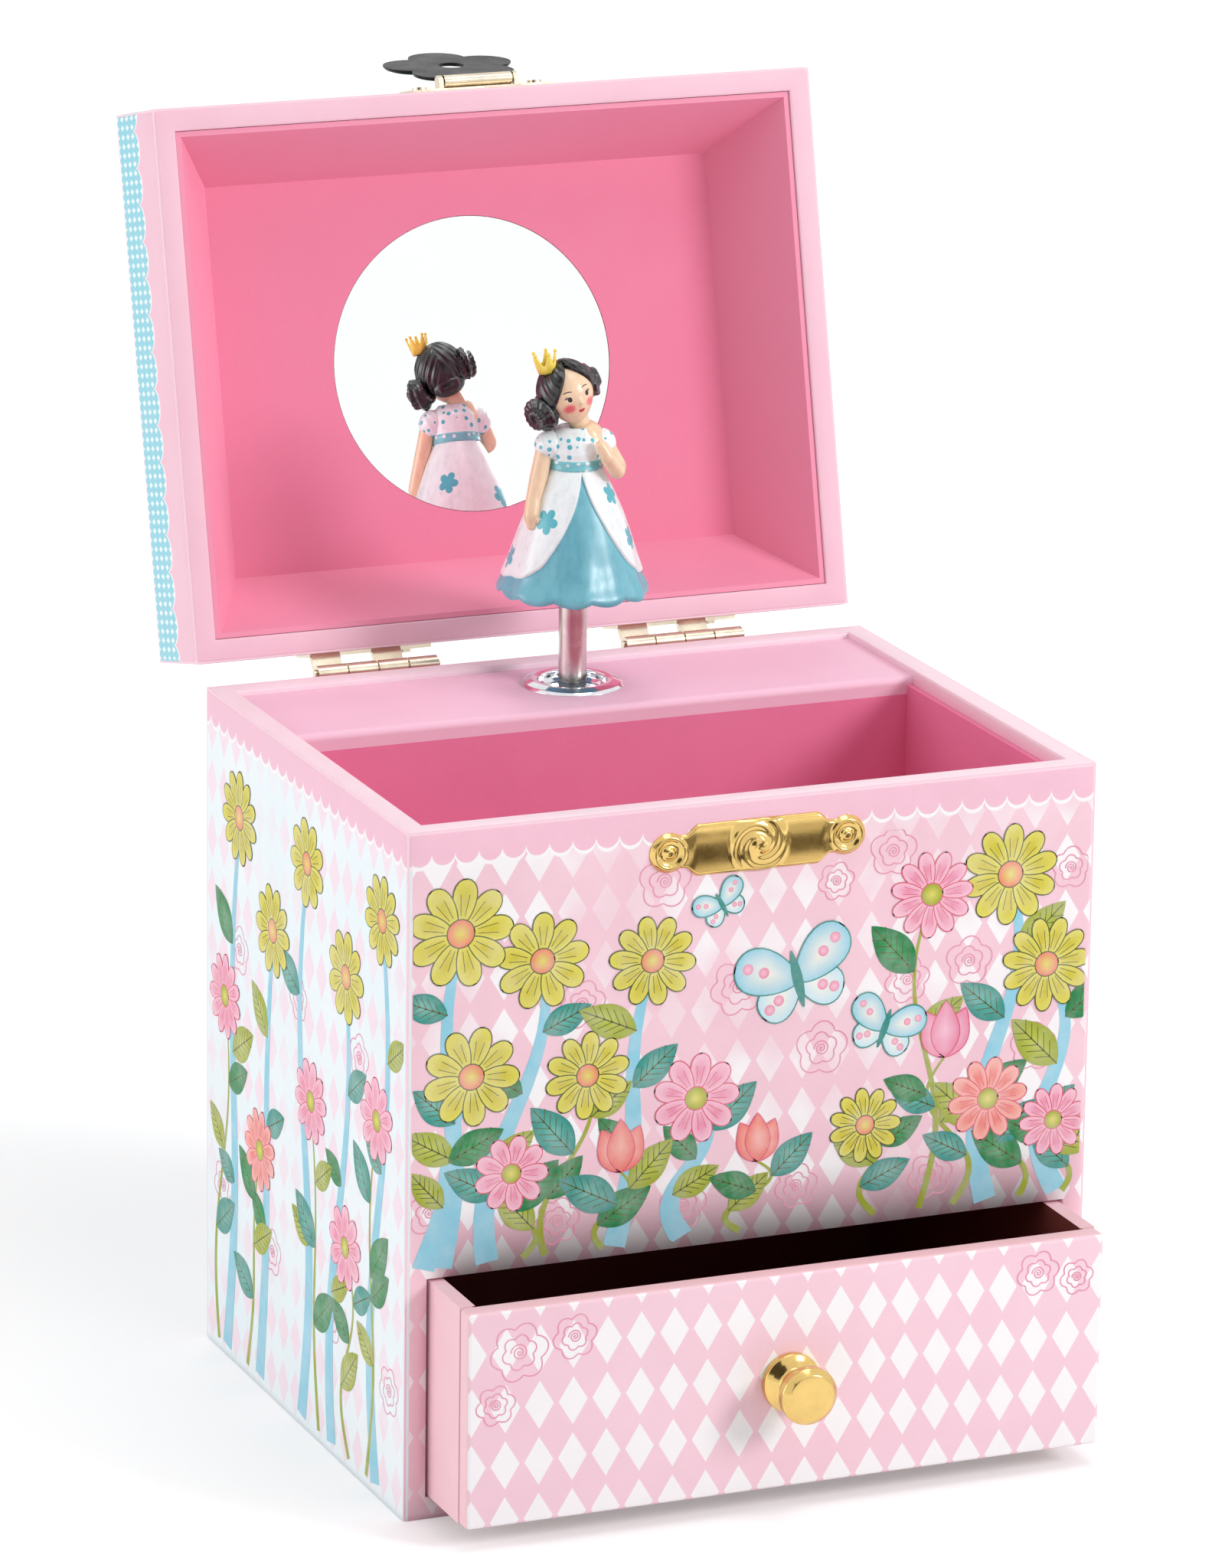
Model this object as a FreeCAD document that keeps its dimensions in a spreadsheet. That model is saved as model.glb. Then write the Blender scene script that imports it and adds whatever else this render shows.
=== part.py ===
import FreeCAD, Part
import math
import os
import Sketcher

# A small musical jewellery box: a case of wrapped board with a drawer and a lined well, a hinged lid
# with a round mirror, and a figure on a stem that the movement behind the well turns.
# Millimetres. X runs to the right, Y to the back and Z up, from the centre of the underside.
# The lid stands open at its stop, the hasp is folded back and the drawer is pulled out a little.

document = FreeCAD.newDocument("jewellery_box")
sheet = document.addObject("Spreadsheet::Sheet", "Sizes")
Vector = FreeCAD.Vector
nodes = []
aliases = []


class Size:
    """A size as a number and as the sheet formula that gives it."""

    def __init__(self, number, formula):
        self.number = number
        self.formula = formula

    def __float__(self):
        return self.number

    def __int__(self):
        return round(self.number)

    def __add__(self, other):
        other = size_of(other)
        return Size(self.number + other.number, f"({self.formula} + {other.formula})")

    def __radd__(self, other):
        return size_of(other) + self

    def __sub__(self, other):
        other = size_of(other)
        return Size(self.number - other.number, f"({self.formula} - {other.formula})")

    def __rsub__(self, other):
        return size_of(other) - self

    def __mul__(self, other):
        other = size_of(other)
        return Size(self.number * other.number, f"({self.formula} * {other.formula})")

    def __rmul__(self, other):
        return size_of(other) * self

    def __truediv__(self, other):
        other = size_of(other)
        return Size(self.number / other.number, f"({self.formula} / {other.formula})")

    def __neg__(self):
        return Size(-self.number, f"(-1 * {self.formula})")


def size_of(thing):
    """A plain number counts as a size too."""
    if isinstance(thing, Size):
        return thing
    return Size(float(thing), f"({float(thing):.6f})")


def sine(angle):
    return Size(math.sin(math.radians(angle)), f"sin({angle.formula})")


def cosine(angle):
    return Size(math.cos(math.radians(angle)), f"cos({angle.formula})")


def driving(alias, number):
    """Put a driving dimension on the next row of the sheet and read it back as a size."""
    aliases.append(alias)
    row = len(aliases)
    sheet.set(f"A{row}", alias)
    sheet.set(f"B{row}", str(number))
    sheet.setAlias(f"B{row}", alias)
    sheet.recompute()
    return Size(float(sheet.get(alias)), f"Sizes.{alias}")


def bind(item, prop, size):
    item.setExpression(prop, size_of(size).formula)


def place(item, spot):
    for letter, size in zip("xyz", spot):
        bind(item, f"Placement.Base.{letter}", size)


def slab(name, across, along, up):
    """A box from its low and high sides in X, Y and Z."""
    solid = document.addObject("Part::Box", name)
    for prop, letter, (low, high) in zip(("Length", "Width", "Height"), "xyz", (across, along, up)):
        bind(solid, prop, size_of(high) - low)
        bind(solid, f"Placement.Base.{letter}", low)
    return solid


axis_turns = {
    "x": FreeCAD.Rotation(Vector(0, 1, 0), 90),
    "y": FreeCAD.Rotation(Vector(1, 0, 0), -90),
    "z": FreeCAD.Rotation(),
    "front": FreeCAD.Rotation(Vector(1, 0, 0), 90),
}


def rod(name, radius, start, length, axis="z"):
    """A cylinder from the middle of its first end, along an axis or towards the front."""
    solid = document.addObject("Part::Cylinder", name)
    solid.Placement = FreeCAD.Placement(Vector(), axis_turns[axis])
    bind(solid, "Radius", radius)
    bind(solid, "Height", length)
    place(solid, start)
    return solid


def ball(name, radius, centre):
    solid = document.addObject("Part::Sphere", name)
    bind(solid, "Radius", radius)
    place(solid, centre)
    return solid


def joined(name, pieces):
    solid = document.addObject("Part::MultiFuse", name)
    solid.Shapes = pieces
    return solid


def cut(name, base, tools):
    solid = document.addObject("Part::Cut", name)
    solid.Base = base
    solid.Tool = tools[0] if len(tools) == 1 else joined(f"{name}_cutters", tools)
    return solid


def group(name, pieces):
    """Separate solids that share one name."""
    solids = document.addObject("Part::Compound", name)
    solids.Links = pieces
    return solids


def swung(name, piece, pivot_y, pivot_z, angle):
    """A piece turned about a line along X, its front going up and over to the back."""
    solid = group(name, [piece])
    solid.Placement = FreeCAD.Placement(Vector(), FreeCAD.Rotation(Vector(-1, 0, 0), float(angle)))
    bind(solid, "Placement.Rotation.Angle", angle)
    bind(solid, "Placement.Base.y", pivot_y - pivot_y * cosine(angle) - pivot_z * sine(angle))
    bind(solid, "Placement.Base.z", pivot_z + pivot_y * sine(angle) - pivot_z * cosine(angle))
    return solid


def outline(body, role, points):
    """A closed outline on one of the body's planes. A point is (x, y) at the end of a straight line,
    or (x, y, radius) at the end of an arc that turns left, or right where the radius is negative."""
    plane = next(item for item in body.Origin.OriginFeatures if item.Role == role)
    sketch = body.newObject("Sketcher::SketchObject", f"{body.Name}_outline")
    sketch.AttachmentSupport = (plane, [""])
    sketch.MapMode = "FlatFace"
    ends = []
    for before, point in zip([points[-1]] + points[:-1], points):
        first = Vector(float(before[0]), float(before[1]), 0)
        last = Vector(float(point[0]), float(point[1]), 0)
        if len(point) == 2:
            sketch.addGeometry(Part.LineSegment(first, last), False)
            ends.append((1, 2))
            continue
        radius = float(point[2])
        chord = last - first
        to_right = Vector(chord.y, -chord.x, 0).normalize()
        rise = abs(radius) - math.sqrt(radius * radius - chord.Length * chord.Length / 4)
        middle = (first + last) / 2 + to_right * math.copysign(rise, radius)
        sketch.addGeometry(Part.Arc(first, middle, last), False)
        ends.append((1, 2) if radius > 0 else (2, 1))
    for index, point in enumerate(points):
        after = (index + 1) % len(points)
        sketch.addConstraint(Sketcher.Constraint("Coincident", index, ends[index][1], after, ends[after][0]))
    for index, point in enumerate(points):
        for kind, size in zip(("DistanceX", "DistanceY"), point):
            number = float(size)
            row = sketch.addConstraint(Sketcher.Constraint(kind, -1, 1, index, ends[index][1], number))
            sketch.setExpression(f"Constraints[{row}]", size_of(size).formula)
        if len(point) == 3:
            row = sketch.addConstraint(Sketcher.Constraint("Radius", index, abs(float(point[2]))))
            sketch.setExpression(f"Constraints[{row}]", f"abs({size_of(point[2]).formula})")
    return sketch


def turned(name, points):
    """A body turned about its own Z axis from an outline of (radius, height) points."""
    body = document.addObject("PartDesign::Body", name)
    profile = outline(body, "XZ_Plane", points)
    turning = body.newObject("PartDesign::Revolution", f"{name}_turning")
    turning.Profile = profile
    turning.ReferenceAxis = (profile, ["V_Axis"])
    turning.Angle = 360
    return body


def padded(name, role, points, length):
    """A body of one outline, padded from its plane."""
    body = document.addObject("PartDesign::Body", name)
    profile = outline(body, role, points)
    pad = body.newObject("PartDesign::Pad", f"{name}_pad")
    pad.Profile = profile
    bind(pad, "Length", length)
    return body


def shaped(name, shape, placement=FreeCAD.Placement()):
    """A piece whose form is worked out from a formula."""
    piece = document.addObject("Part::Feature", name)
    piece.Shape = shape
    piece.Placement = placement
    return piece


def node(piece):
    """List a finished sub-part: its label names it."""
    nodes.append(piece)
    return piece


# Driving dimensions in millimetres, angles in degrees. Each has a cell of its own on the sheet.
sizes = {
    # Case
    "box_width": 120.0,
    "box_depth": 93.0,
    "box_height": 115.3,
    "board": 3.7,
    "drawer_room": 37.2,
    "deck_thickness": 3.0,
    "lining": 1.2,
    "lining_drop": 2.5,
    "platform_depth": 26.8,
    "platform_thickness": 3.0,
    "platform_drop": 1.0,
    "platform_riser": 2.5,
    "platform_rounding": 1.2,
    # Drawer
    "drawer_out": 16.8,
    "drawer_play": 0.5,
    "drawer_lift": 0.2,
    "drawer_side": 2.6,
    "drawer_bottom": 2.0,
    "drawer_back_gap": 1.3,
    "knob_flange_radius": 5.0,
    "knob_flange": 1.5,
    "knob_waist_radius": 3.3,
    "knob_face_radius": 4.85,
    "knob_face": 3.0,
    "knob_length": 9.2,
    "knob_screw_radius": 1.5,
    "knob_screw_reach": 6.0,
    "knob_screw_head_radius": 3.0,
    "knob_screw_head": 1.4,
    # Lid
    "lid_height": 18.8,
    "lid_top_thickness": 2.0,
    "lid_gap": 0.2,
    "lid_open_angle": 103.4,
    "panel_thickness": 0.8,
    "slope_run_x": 9.0,
    "slope_run_y": 8.4,
    "slope_card": 0.9,
    "slope_gap": 0.2,
    "slope_recess": 0.4,
    "mirror_radius": 25.4,
    "mirror_thickness": 0.7,
    "mirror_play": 0.1,
    # Hinges
    "hinge_offset": 3.5,
    "hinge_drop": 0.55,
    "hinge_length": 22.0,
    "hinge_spread": 28.2,
    "hinge_barrel_radius": 1.4,
    "hinge_pin_radius": 0.7,
    "hinge_pin_end": 0.3,
    "hinge_leaf": 0.8,
    "hinge_leaf_reach": 9.0,
    "hinge_leaf_start": 2.2,
    "knuckle_gap": 0.3,
    "hinge_screw_radius": 0.8,
    "hinge_screw_depth": 2.6,
    "hinge_screw_head_radius": 1.5,
    "hinge_screw_head": 0.6,
    "hinge_screw_spacing": 14.0,
    "running_play": 0.05,
    # Clasp
    "strike_drop": 7.6,
    "strike_length": 37.6,
    "strike_thickness": 0.6,
    "strike_lobe_radius": 3.3,
    "strike_neck": 5.4,
    "strike_middle_length": 23.0,
    "strike_middle_height": 8.6,
    "rosette_radius": 4.3,
    "rosette_height": 0.4,
    "boss_radius": 1.9,
    "boss_height": 2.2,
    "nail_radius": 0.7,
    "nail_head_radius": 1.3,
    "nail_head": 0.5,
    "nail_depth": 2.5,
    "hasp_rise": 3.9,
    "hasp_standoff": 1.7,
    "hasp_stand_angle": 13.4,
    "hasp_thickness": 0.8,
    "hasp_centre_radius": 6.0,
    "hasp_petal_radius": 5.0,
    "hasp_petal_reach": 6.8,
    "hasp_hole_radius": 2.25,
    "hasp_ear_spread": 13.7,
    "hasp_ear": 0.8,
    "hasp_ear_radius": 1.1,
    "hasp_pin_radius": 0.6,
    "hasp_sleeve_radius": 1.1,
    "hasp_plate_length": 26.0,
    "hasp_plate_height": 6.4,
    "hasp_plate_thickness": 0.5,
    "hasp_nail_spacing": 21.0,
    # Movement
    "barrel_lift": 2.4,
    "bedplate_thickness": 1.5,
    "bed_end": 10.0,
    "bed_side": 6.0,
    "bed_edge": 3.0,
    "wheel_module": 1.0,
    "barrel_teeth": 24,
    "crown_teeth": 16,
    "barrel_face": 2.2,
    "drum_radius": 10.2,
    "drum_length": 12.4,
    "drum_wall": 0.8,
    "arbor_radius": 1.5,
    "spring_pack_gap": 0.2,
    "crown_disc": 1.4,
    "train_module": 0.5,
    "train_teeth": 24,
    "pinion_teeth": 8,
    "train_face": 1.4,
    "cylinder_radius": 5.4,
    "cylinder_length": 21.2,
    "pin_radius": 0.25,
    "pin_height": 0.8,
    "comb_teeth": 18,
    "comb_thickness": 1.0,
    "comb_tine": 9.0,
    "comb_base": 10.0,
    "comb_gap": 0.3,
    "pivot_radius": 0.8,
    "frame_plate": 1.2,
    "fly_radius": 4.2,
    "fly_vane": 0.5,
    "spindle_arm_thickness": 2.5,
    "lug_depth": 3.5,
    "comb_screw_depth": 4.0,
    "spindle_radius": 1.5,
    "movement_screw_radius": 1.0,
    "drum_screw_gap": 3.0,
    "end_screw_gap": 2.0,
    "comb_screw_gap": 5.0,
    "movement_screw_head_radius": 2.1,
    "movement_screw_head": 1.0,
    "key_boss_radius": 3.0,
    "key_gap": 1.0,
    "key_boss_length": 5.5,
    "key_wing_radius": 5.2,
    "key_wing_spread": 11.6,
    "key_thickness": 1.8,
    "key_hole_radius": 2.4,
    # Grommet, stem and figure, with heights above the platform
    "stem_forward": 11.3,
    "grommet_radius": 8.75,
    "grommet_hole": 5.8,
    "grommet_wall": 0.6,
    "grommet_lip": 0.5,
    "grommet_dome": 12.0,
    "stem_radius": 2.4,
    "stem_wall": 0.6,
    "stem_foot": 0.55,
    "stem_gap": 0.1,
    "stem_top": 30.0,
    "fold_spring_length": 20.0,
    "figure_turn_angle": 8.0,
    "hem_height": 15.3,
    "hem_radius": 12.5,
    "hem_edge": 0.9,
    "hem_hollow": 3.5,
    "gown_sweep": 200.0,
    "waist_height": 38.2,
    "waist_radius": 4.9,
    "bodice_height": 6.2,
    "bodice_curve": 4.0,
    "sleeve_radius": 2.7,
    "sleeve_spread": 9.6,
    "arm_radius": 1.15,
    "arm_length": 10.5,
    "neck_radius": 1.7,
    "head_height": 6.2,
    "head_radius": 4.5,
    "head_lean_angle": 18.0,
    "chin_height": 0.6,
    "hair_thickness": 0.8,
    "curl_radius": 2.6,
    "crown_radius": 2.0,
    "crown_flare": 0.7,
    "crown_height": 4.2,
    "crown_wall": 0.6,
    "crown_points": 5,
    "crown_aside": 1.2,
}
# Below, the name of a dimension stands for its cell.
globals().update({alias: driving(alias, number) for alias, number in sizes.items()})

# Lines that several pieces share
half_width = box_width / 2
front = -box_depth / 2
back = box_depth / 2
inner_width = half_width - board
inner_front = front + board
inner_back = back - board
opening_top = board + drawer_room
deck_top = opening_top + deck_thickness
platform_top_level = box_height - platform_drop
platform_edge = inner_back - platform_depth
barrel_level = (deck_top + platform_top_level - platform_thickness) / 2 + barrel_lift
stem_y = inner_back - stem_forward
lid_base = box_height + lid_gap
hinge_y = back + hinge_offset
hinge_z = box_height - hinge_drop
strike_z = box_height - strike_drop
hasp_y = front - hasp_standoff
hasp_z = lid_base + hasp_rise
hasp_fold = 180 - hasp_stand_angle
bedplate_front = inner_back - bedplate_thickness
neckline = waist_height + bodice_height
chin_level = neckline + chin_height
skull_level = neckline + head_height
barrel_pitch = wheel_module * barrel_teeth / 2
crown_pitch = wheel_module * crown_teeth / 2
barrel_y = stem_y + crown_pitch
cylinder_start = barrel_pitch + 5.4
cylinder_end = cylinder_start + cylinder_length
comb_front = stem_y - comb_thickness / 2
comb_tip = barrel_level - cylinder_radius - pin_height - comb_gap
comb_foot = comb_tip - comb_tine - comb_base
train_distance = train_module * (train_teeth + pinion_teeth) / 2


def screw(name, radius, length, head_radius, head, start, axis):
    """A plain headed screw or nail. It starts under its head, which stands behind the start."""
    shank = rod(f"{name}_shank", radius, start, length, axis)
    steps = {"y": (0, -1, 0), "front": (0, 1, 0)}[axis]
    head_start = [size + head * step for size, step in zip(start, steps)]
    return joined(name, [shank, rod(f"{name}_head", head_radius, head_start, head, axis)])


def hinge_screw_spots():
    """The screws' places along X, two on each leaf."""
    return [side * hinge_spread + end * hinge_screw_spacing / 2 for side in (-1, 1) for end in (-1, 1)]


hinge_screw_level = (hinge_leaf_start + hinge_leaf_reach) / 2
movement_screw_spots = [
    (-1 * (drum_radius + drum_screw_gap), barrel_level + drum_radius),
    (cylinder_end + end_screw_gap, barrel_level - train_distance),
    (cylinder_start - comb_screw_gap, comb_foot + end_screw_gap),
]


def make_case():
    node(slab("base_board", (-half_width, half_width), (front, back), (0, board)))
    for side, name in ((-1, "left_wall"), (1, "right_wall")):
        low, high = sorted((side * inner_width, side * half_width), key=float)
        node(slab(name, (low, high), (front, back), (board, box_height)))
    wall = slab("back_board", (-inner_width, inner_width), (inner_back, back), (board, box_height))
    bores = [rod("key_bore", key_boss_radius, (0, inner_back, barrel_level), board, "y")]
    for index, x in enumerate(hinge_screw_spots()):
        start = (x, back - hinge_screw_depth, hinge_z - hinge_screw_level)
        bores.append(rod(f"back_hinge_bore_{index}", hinge_screw_radius, start, hinge_screw_depth, "y"))
    for index, (x, z) in enumerate(movement_screw_spots):
        bores.append(rod(f"back_screw_bore_{index}", movement_screw_radius, (x, inner_back, z), board, "y"))
    node(cut("back_wall", wall, bores))
    panel = slab("front_board", (-inner_width, inner_width), (front, inner_front), (opening_top, box_height))
    bores = []
    for side in (-1, 1):
        start = (side * strike_nail_x, front, strike_z)
        bores.append(rod(f"strike_bore_{side + 1}", nail_radius, start, nail_depth, "y"))
    node(cut("front_panel", panel, bores))
    node(slab("drawer_deck", (-inner_width, inner_width), (inner_front, inner_back), (opening_top, deck_top)))


def make_lining():
    top = box_height - lining_drop
    lined_front = inner_front + lining
    lined_side = inner_width - lining
    node(slab("liner_front", (-inner_width, inner_width), (inner_front, lined_front), (deck_top, top)))
    sides = []
    for side, name in ((-1, "lining_left"), (1, "lining_right")):
        low, high = sorted((side * lined_side, side * inner_width), key=float)
        sides.append(slab(name, (low, high), (lined_front, platform_edge), (deck_top, top)))
    node(group("liner_sides", sides))
    up = (deck_top, deck_top + lining)
    node(slab("liner_floor", (-lined_side, lined_side), (lined_front, platform_edge), up))


def make_platform():
    under = platform_top_level - platform_thickness
    wide = (-inner_width, inner_width)
    # The platform's front edge is rounded on top.
    points = [
        (platform_edge, under),
        (inner_back, under),
        (inner_back, platform_top_level),
        (platform_edge + platform_rounding, platform_top_level),
        (platform_edge, platform_top_level - platform_rounding, platform_rounding),
    ]
    shelf = padded("platform_board", "YZ_Plane", points, 2 * inner_width)
    place(shelf, (-inner_width, 0, 0))
    collar = grommet_hole + grommet_wall
    bore = rod("platform_bore", collar, (0, stem_y, under), platform_thickness)
    node(cut("platform_top", shelf, [bore]))
    node(slab("platform_front", wide, (platform_edge, platform_edge + platform_riser), (deck_top, under)))
    # The grommet has a domed flange on the platform and a collar down through it.
    points = [
        (grommet_hole, -platform_thickness),
        (collar, -platform_thickness),
        (collar, 0),
        (grommet_radius, 0),
        (grommet_hole + grommet_wall / 2, grommet_lip, grommet_dome),
        (grommet_hole, grommet_lip - grommet_wall / 2, grommet_wall / 2),
    ]
    grommet = turned("grommet", points)
    place(grommet, (0, stem_y, platform_top_level))
    node(grommet)


def make_drawer():
    face = front - drawer_out
    rear = inner_back - drawer_back_gap - drawer_out
    low = board + drawer_lift
    high = opening_top - drawer_play
    side = inner_width - drawer_play
    inner_side = side - drawer_side
    inside = face + board
    middle = (low + high) / 2
    front_board = slab("drawer_face", (-side, side), (face, inside), (low, high))
    bore = rod("knob_bore", knob_screw_radius, (0, face, middle), board, "y")
    node(cut("drawer_front", front_board, [bore]))
    walls = []
    for sign, name in ((-1, "drawer_left"), (1, "drawer_right")):
        first, last = sorted((sign * inner_side, sign * side), key=float)
        walls.append(slab(name, (first, last), (inside, rear), (low, high)))
    node(group("drawer_sides", walls))
    node(slab("drawer_back", (-inner_side, inner_side), (rear - drawer_side, rear), (low, high)))
    floor_span = (inside, rear - drawer_side)
    node(slab("drawer_floor", (-inner_side, inner_side), floor_span, (low, low + drawer_bottom)))
    # The knob is a spool: a domed flange on the drawer, a hollow waist and a rounded face.
    waist_top = knob_length - knob_face
    points = [
        (knob_screw_radius, 0),
        (knob_flange_radius, 0),
        (knob_flange_radius - 0.6, knob_flange, 1.2),
        (knob_waist_radius, knob_flange + 1.2, -1.9),
        (knob_face_radius - 0.3, waist_top, -4.2),
        (knob_face_radius, waist_top + knob_face / 2, 2.2),
        (knob_face_radius - 1.0, knob_length - 0.3, 1.8),
        (0, knob_length),
        (0, knob_screw_reach),
        (knob_screw_radius, knob_screw_reach),
    ]
    knob = turned("drawer_knob", points)
    knob.Placement = FreeCAD.Placement(Vector(), axis_turns["front"])
    place(knob, (0, face, middle))
    node(knob)
    reach = board + knob_screw_reach
    head = (knob_screw_head_radius, knob_screw_head)
    node(screw("knob_screw", knob_screw_radius, reach, *head, (0, inside, middle), "front"))


def on_lid(name, piece):
    """A lid piece made shut and turned to the open stop."""
    return swung(name, piece, hinge_y, hinge_z, lid_open_angle)


def make_lid():
    under = lid_base + lid_height - lid_top_thickness
    wide = (-inner_width, inner_width)
    top = slab("top_shut", (-half_width, half_width), (front, back), (under, lid_base + lid_height))
    node(on_lid("lid_top", top))
    for side, name in ((-1, "lid_left"), (1, "lid_right")):
        low, high = sorted((side * inner_width, side * half_width), key=float)
        node(on_lid(name, slab(f"{name}_shut", (low, high), (front, back), (lid_base, under))))
    board_front = slab("lid_front_board", wide, (front, inner_front), (lid_base, under))
    bores = []
    for side in (-1, 1):
        start = (side * hasp_nail_spacing / 2, front, hasp_z)
        bores.append(rod(f"hasp_bore_{side + 1}", nail_radius, start, nail_depth, "y"))
    node(on_lid("lid_front", cut("lid_front_shut", board_front, bores)))
    board_back = slab("lid_back_board", wide, (inner_back, back), (lid_base, under))
    bores = []
    for index, x in enumerate(hinge_screw_spots()):
        start = (x, back - hinge_screw_depth, hinge_z + hinge_screw_level)
        bores.append(rod(f"lid_hinge_bore_{index}", hinge_screw_radius, start, hinge_screw_depth, "y"))
    node(on_lid("lid_back", cut("lid_back_shut", board_back, bores)))
    panel_level = under - panel_thickness
    sheet_card = slab("panel_card", wide, (inner_front, inner_back), (panel_level, under))
    window = rod("mirror_window", mirror_radius + mirror_play, (0, 0, panel_level), panel_thickness)
    node(on_lid("lid_panel", cut("lid_panel_shut", sheet_card, [window])))
    glass = rod("mirror_shut", mirror_radius, (0, 0, under - mirror_thickness), mirror_thickness)
    node(on_lid("mirror", glass))
    # The sloped lining is one folded card: a wide frustum less a narrower one.
    rise = panel_level - lid_base - slope_recess
    outer_x = inner_width - slope_gap
    outer_y = inner_back - slope_gap
    frustums = []
    for name, thick in (("slopes_outside", 0 * slope_card), ("slopes_inside", slope_card)):
        wedge = document.addObject("Part::Wedge", name)
        wedge.Placement = FreeCAD.Placement(Vector(), axis_turns["front"])
        bind(wedge, "Ymin", 0)
        bind(wedge, "Ymax", rise)
        for prop, span, run in (("X", outer_x, slope_run_x), ("Z", outer_y, slope_run_y)):
            bind(wedge, f"{prop}max", span - thick)
            bind(wedge, f"{prop}min", thick - span)
            bind(wedge, f"{prop}2max", span - thick - run)
            bind(wedge, f"{prop}2min", thick + run - span)
        bind(wedge, "Placement.Base.z", lid_base + slope_recess)
        frustums.append(wedge)
    node(on_lid("lid_slopes", cut("lid_slopes_shut", frustums[0], frustums[1:])))


def hinge_leaf_solid(name, middle, up, first_knuckle):
    """One leaf, flat on the back face, with two of the four knuckles. It points up or down from the pin."""
    left = middle - hinge_length / 2
    step = hinge_length / 4
    levels = sorted((hinge_z + up * hinge_leaf_start, hinge_z + up * hinge_leaf_reach), key=float)
    plate = slab(f"{name}_plate", (left, left + hinge_length), (back, back + hinge_leaf), levels)
    pieces = [plate]
    for knuckle in (first_knuckle, first_knuckle + 2):
        start = left + step * knuckle + knuckle_gap / 2
        span = step - knuckle_gap
        spot = (start, hinge_y, hinge_z)
        pieces.append(rod(f"{name}_barrel_{knuckle}", hinge_barrel_radius, spot, span, "x"))
        points = [
            (-hinge_offset, up * hinge_leaf_start),
            (hinge_leaf - hinge_offset, up * (hinge_leaf_start + hinge_leaf)),
            (0, up * hinge_barrel_radius),
            (0, up * (hinge_barrel_radius - hinge_leaf)),
        ]
        web = padded(f"{name}_web_{knuckle}", "YZ_Plane", points, span)
        place(web, spot)
        pieces.append(web)
    bore_start = (left, hinge_y, hinge_z)
    tools = [rod(f"{name}_bore", hinge_pin_radius + running_play, bore_start, hinge_length, "x")]
    for end in (-1, 1):
        x = middle + end * hinge_screw_spacing / 2
        start = (x, back, hinge_z + up * hinge_screw_level)
        tools.append(rod(f"{name}_screw_bore_{end + 1}", hinge_screw_radius, start, hinge_leaf, "y"))
    return cut(name, joined(f"{name}_solid", pieces), tools)


def make_hinges():
    leaves = {-1: [], 1: []}
    pins = []
    for side in (-1, 1):
        for up, first in ((-1, 1), (1, 0)):
            name = f"leaf_{side + 1}_{up + 1}"
            leaves[up].append(hinge_leaf_solid(name, side * hinge_spread, up, first))
        start = side * hinge_spread - hinge_length / 2 - hinge_pin_end
        length = hinge_length + 2 * hinge_pin_end
        pins.append(rod(f"pin_{side + 1}", hinge_pin_radius, (start, hinge_y, hinge_z), length, "x"))
    node(group("hinge_leaves_box", leaves[-1]))
    node(on_lid("hinge_leaves_lid", group("leaves_shut", leaves[1])))
    node(group("hinge_pins", pins))
    screws = {-1: [], 1: []}
    reach = hinge_leaf + hinge_screw_depth
    head = (hinge_screw_head_radius, hinge_screw_head)
    for index, x in enumerate(hinge_screw_spots()):
        for up in (-1, 1):
            start = (x, back + hinge_leaf, hinge_z + up * hinge_screw_level)
            name = f"hinge_screw_{index}_{up + 1}"
            screws[up].append(screw(name, hinge_screw_radius, reach, *head, start, "front"))
    node(group("hinge_screws_box", screws[-1]))
    node(on_lid("hinge_screws_lid", group("hinge_screws_shut", screws[1])))


strike_nail_x = strike_length / 2 - strike_lobe_radius


def make_strike():
    face = front - strike_thickness
    thick = (face, front)
    neck = slab("strike_neck_bar", (-strike_nail_x, strike_nail_x), thick,
                (strike_z - strike_neck / 2, strike_z + strike_neck / 2))
    middle = slab("strike_middle", (-strike_middle_length / 2, strike_middle_length / 2), thick,
                  (strike_z - strike_middle_height / 2, strike_z + strike_middle_height / 2))
    pieces = [neck, middle]
    holes = []
    nails = []
    for side in (-1, 1):
        spot = (side * strike_nail_x, front, strike_z)
        pieces.append(rod(f"strike_lobe_{side + 1}", strike_lobe_radius, spot, strike_thickness, "front"))
        holes.append(rod(f"strike_hole_{side + 1}", nail_radius, spot, strike_thickness, "front"))
        start = (side * strike_nail_x, face, strike_z)
        length = strike_thickness + nail_depth
        nail = (nail_radius, length, nail_head_radius, nail_head)
        nails.append(screw(f"strike_nail_{side + 1}", *nail, start, "y"))
    centre = (0, face, strike_z)
    pieces.append(rod("rosette", rosette_radius, centre, rosette_height, "front"))
    pieces.append(rod("rosette_boss", boss_radius, centre, boss_height, "front"))
    node(cut("strike_plate", joined("strike_solid", pieces), holes))
    node(group("strike_nails", nails))


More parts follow.
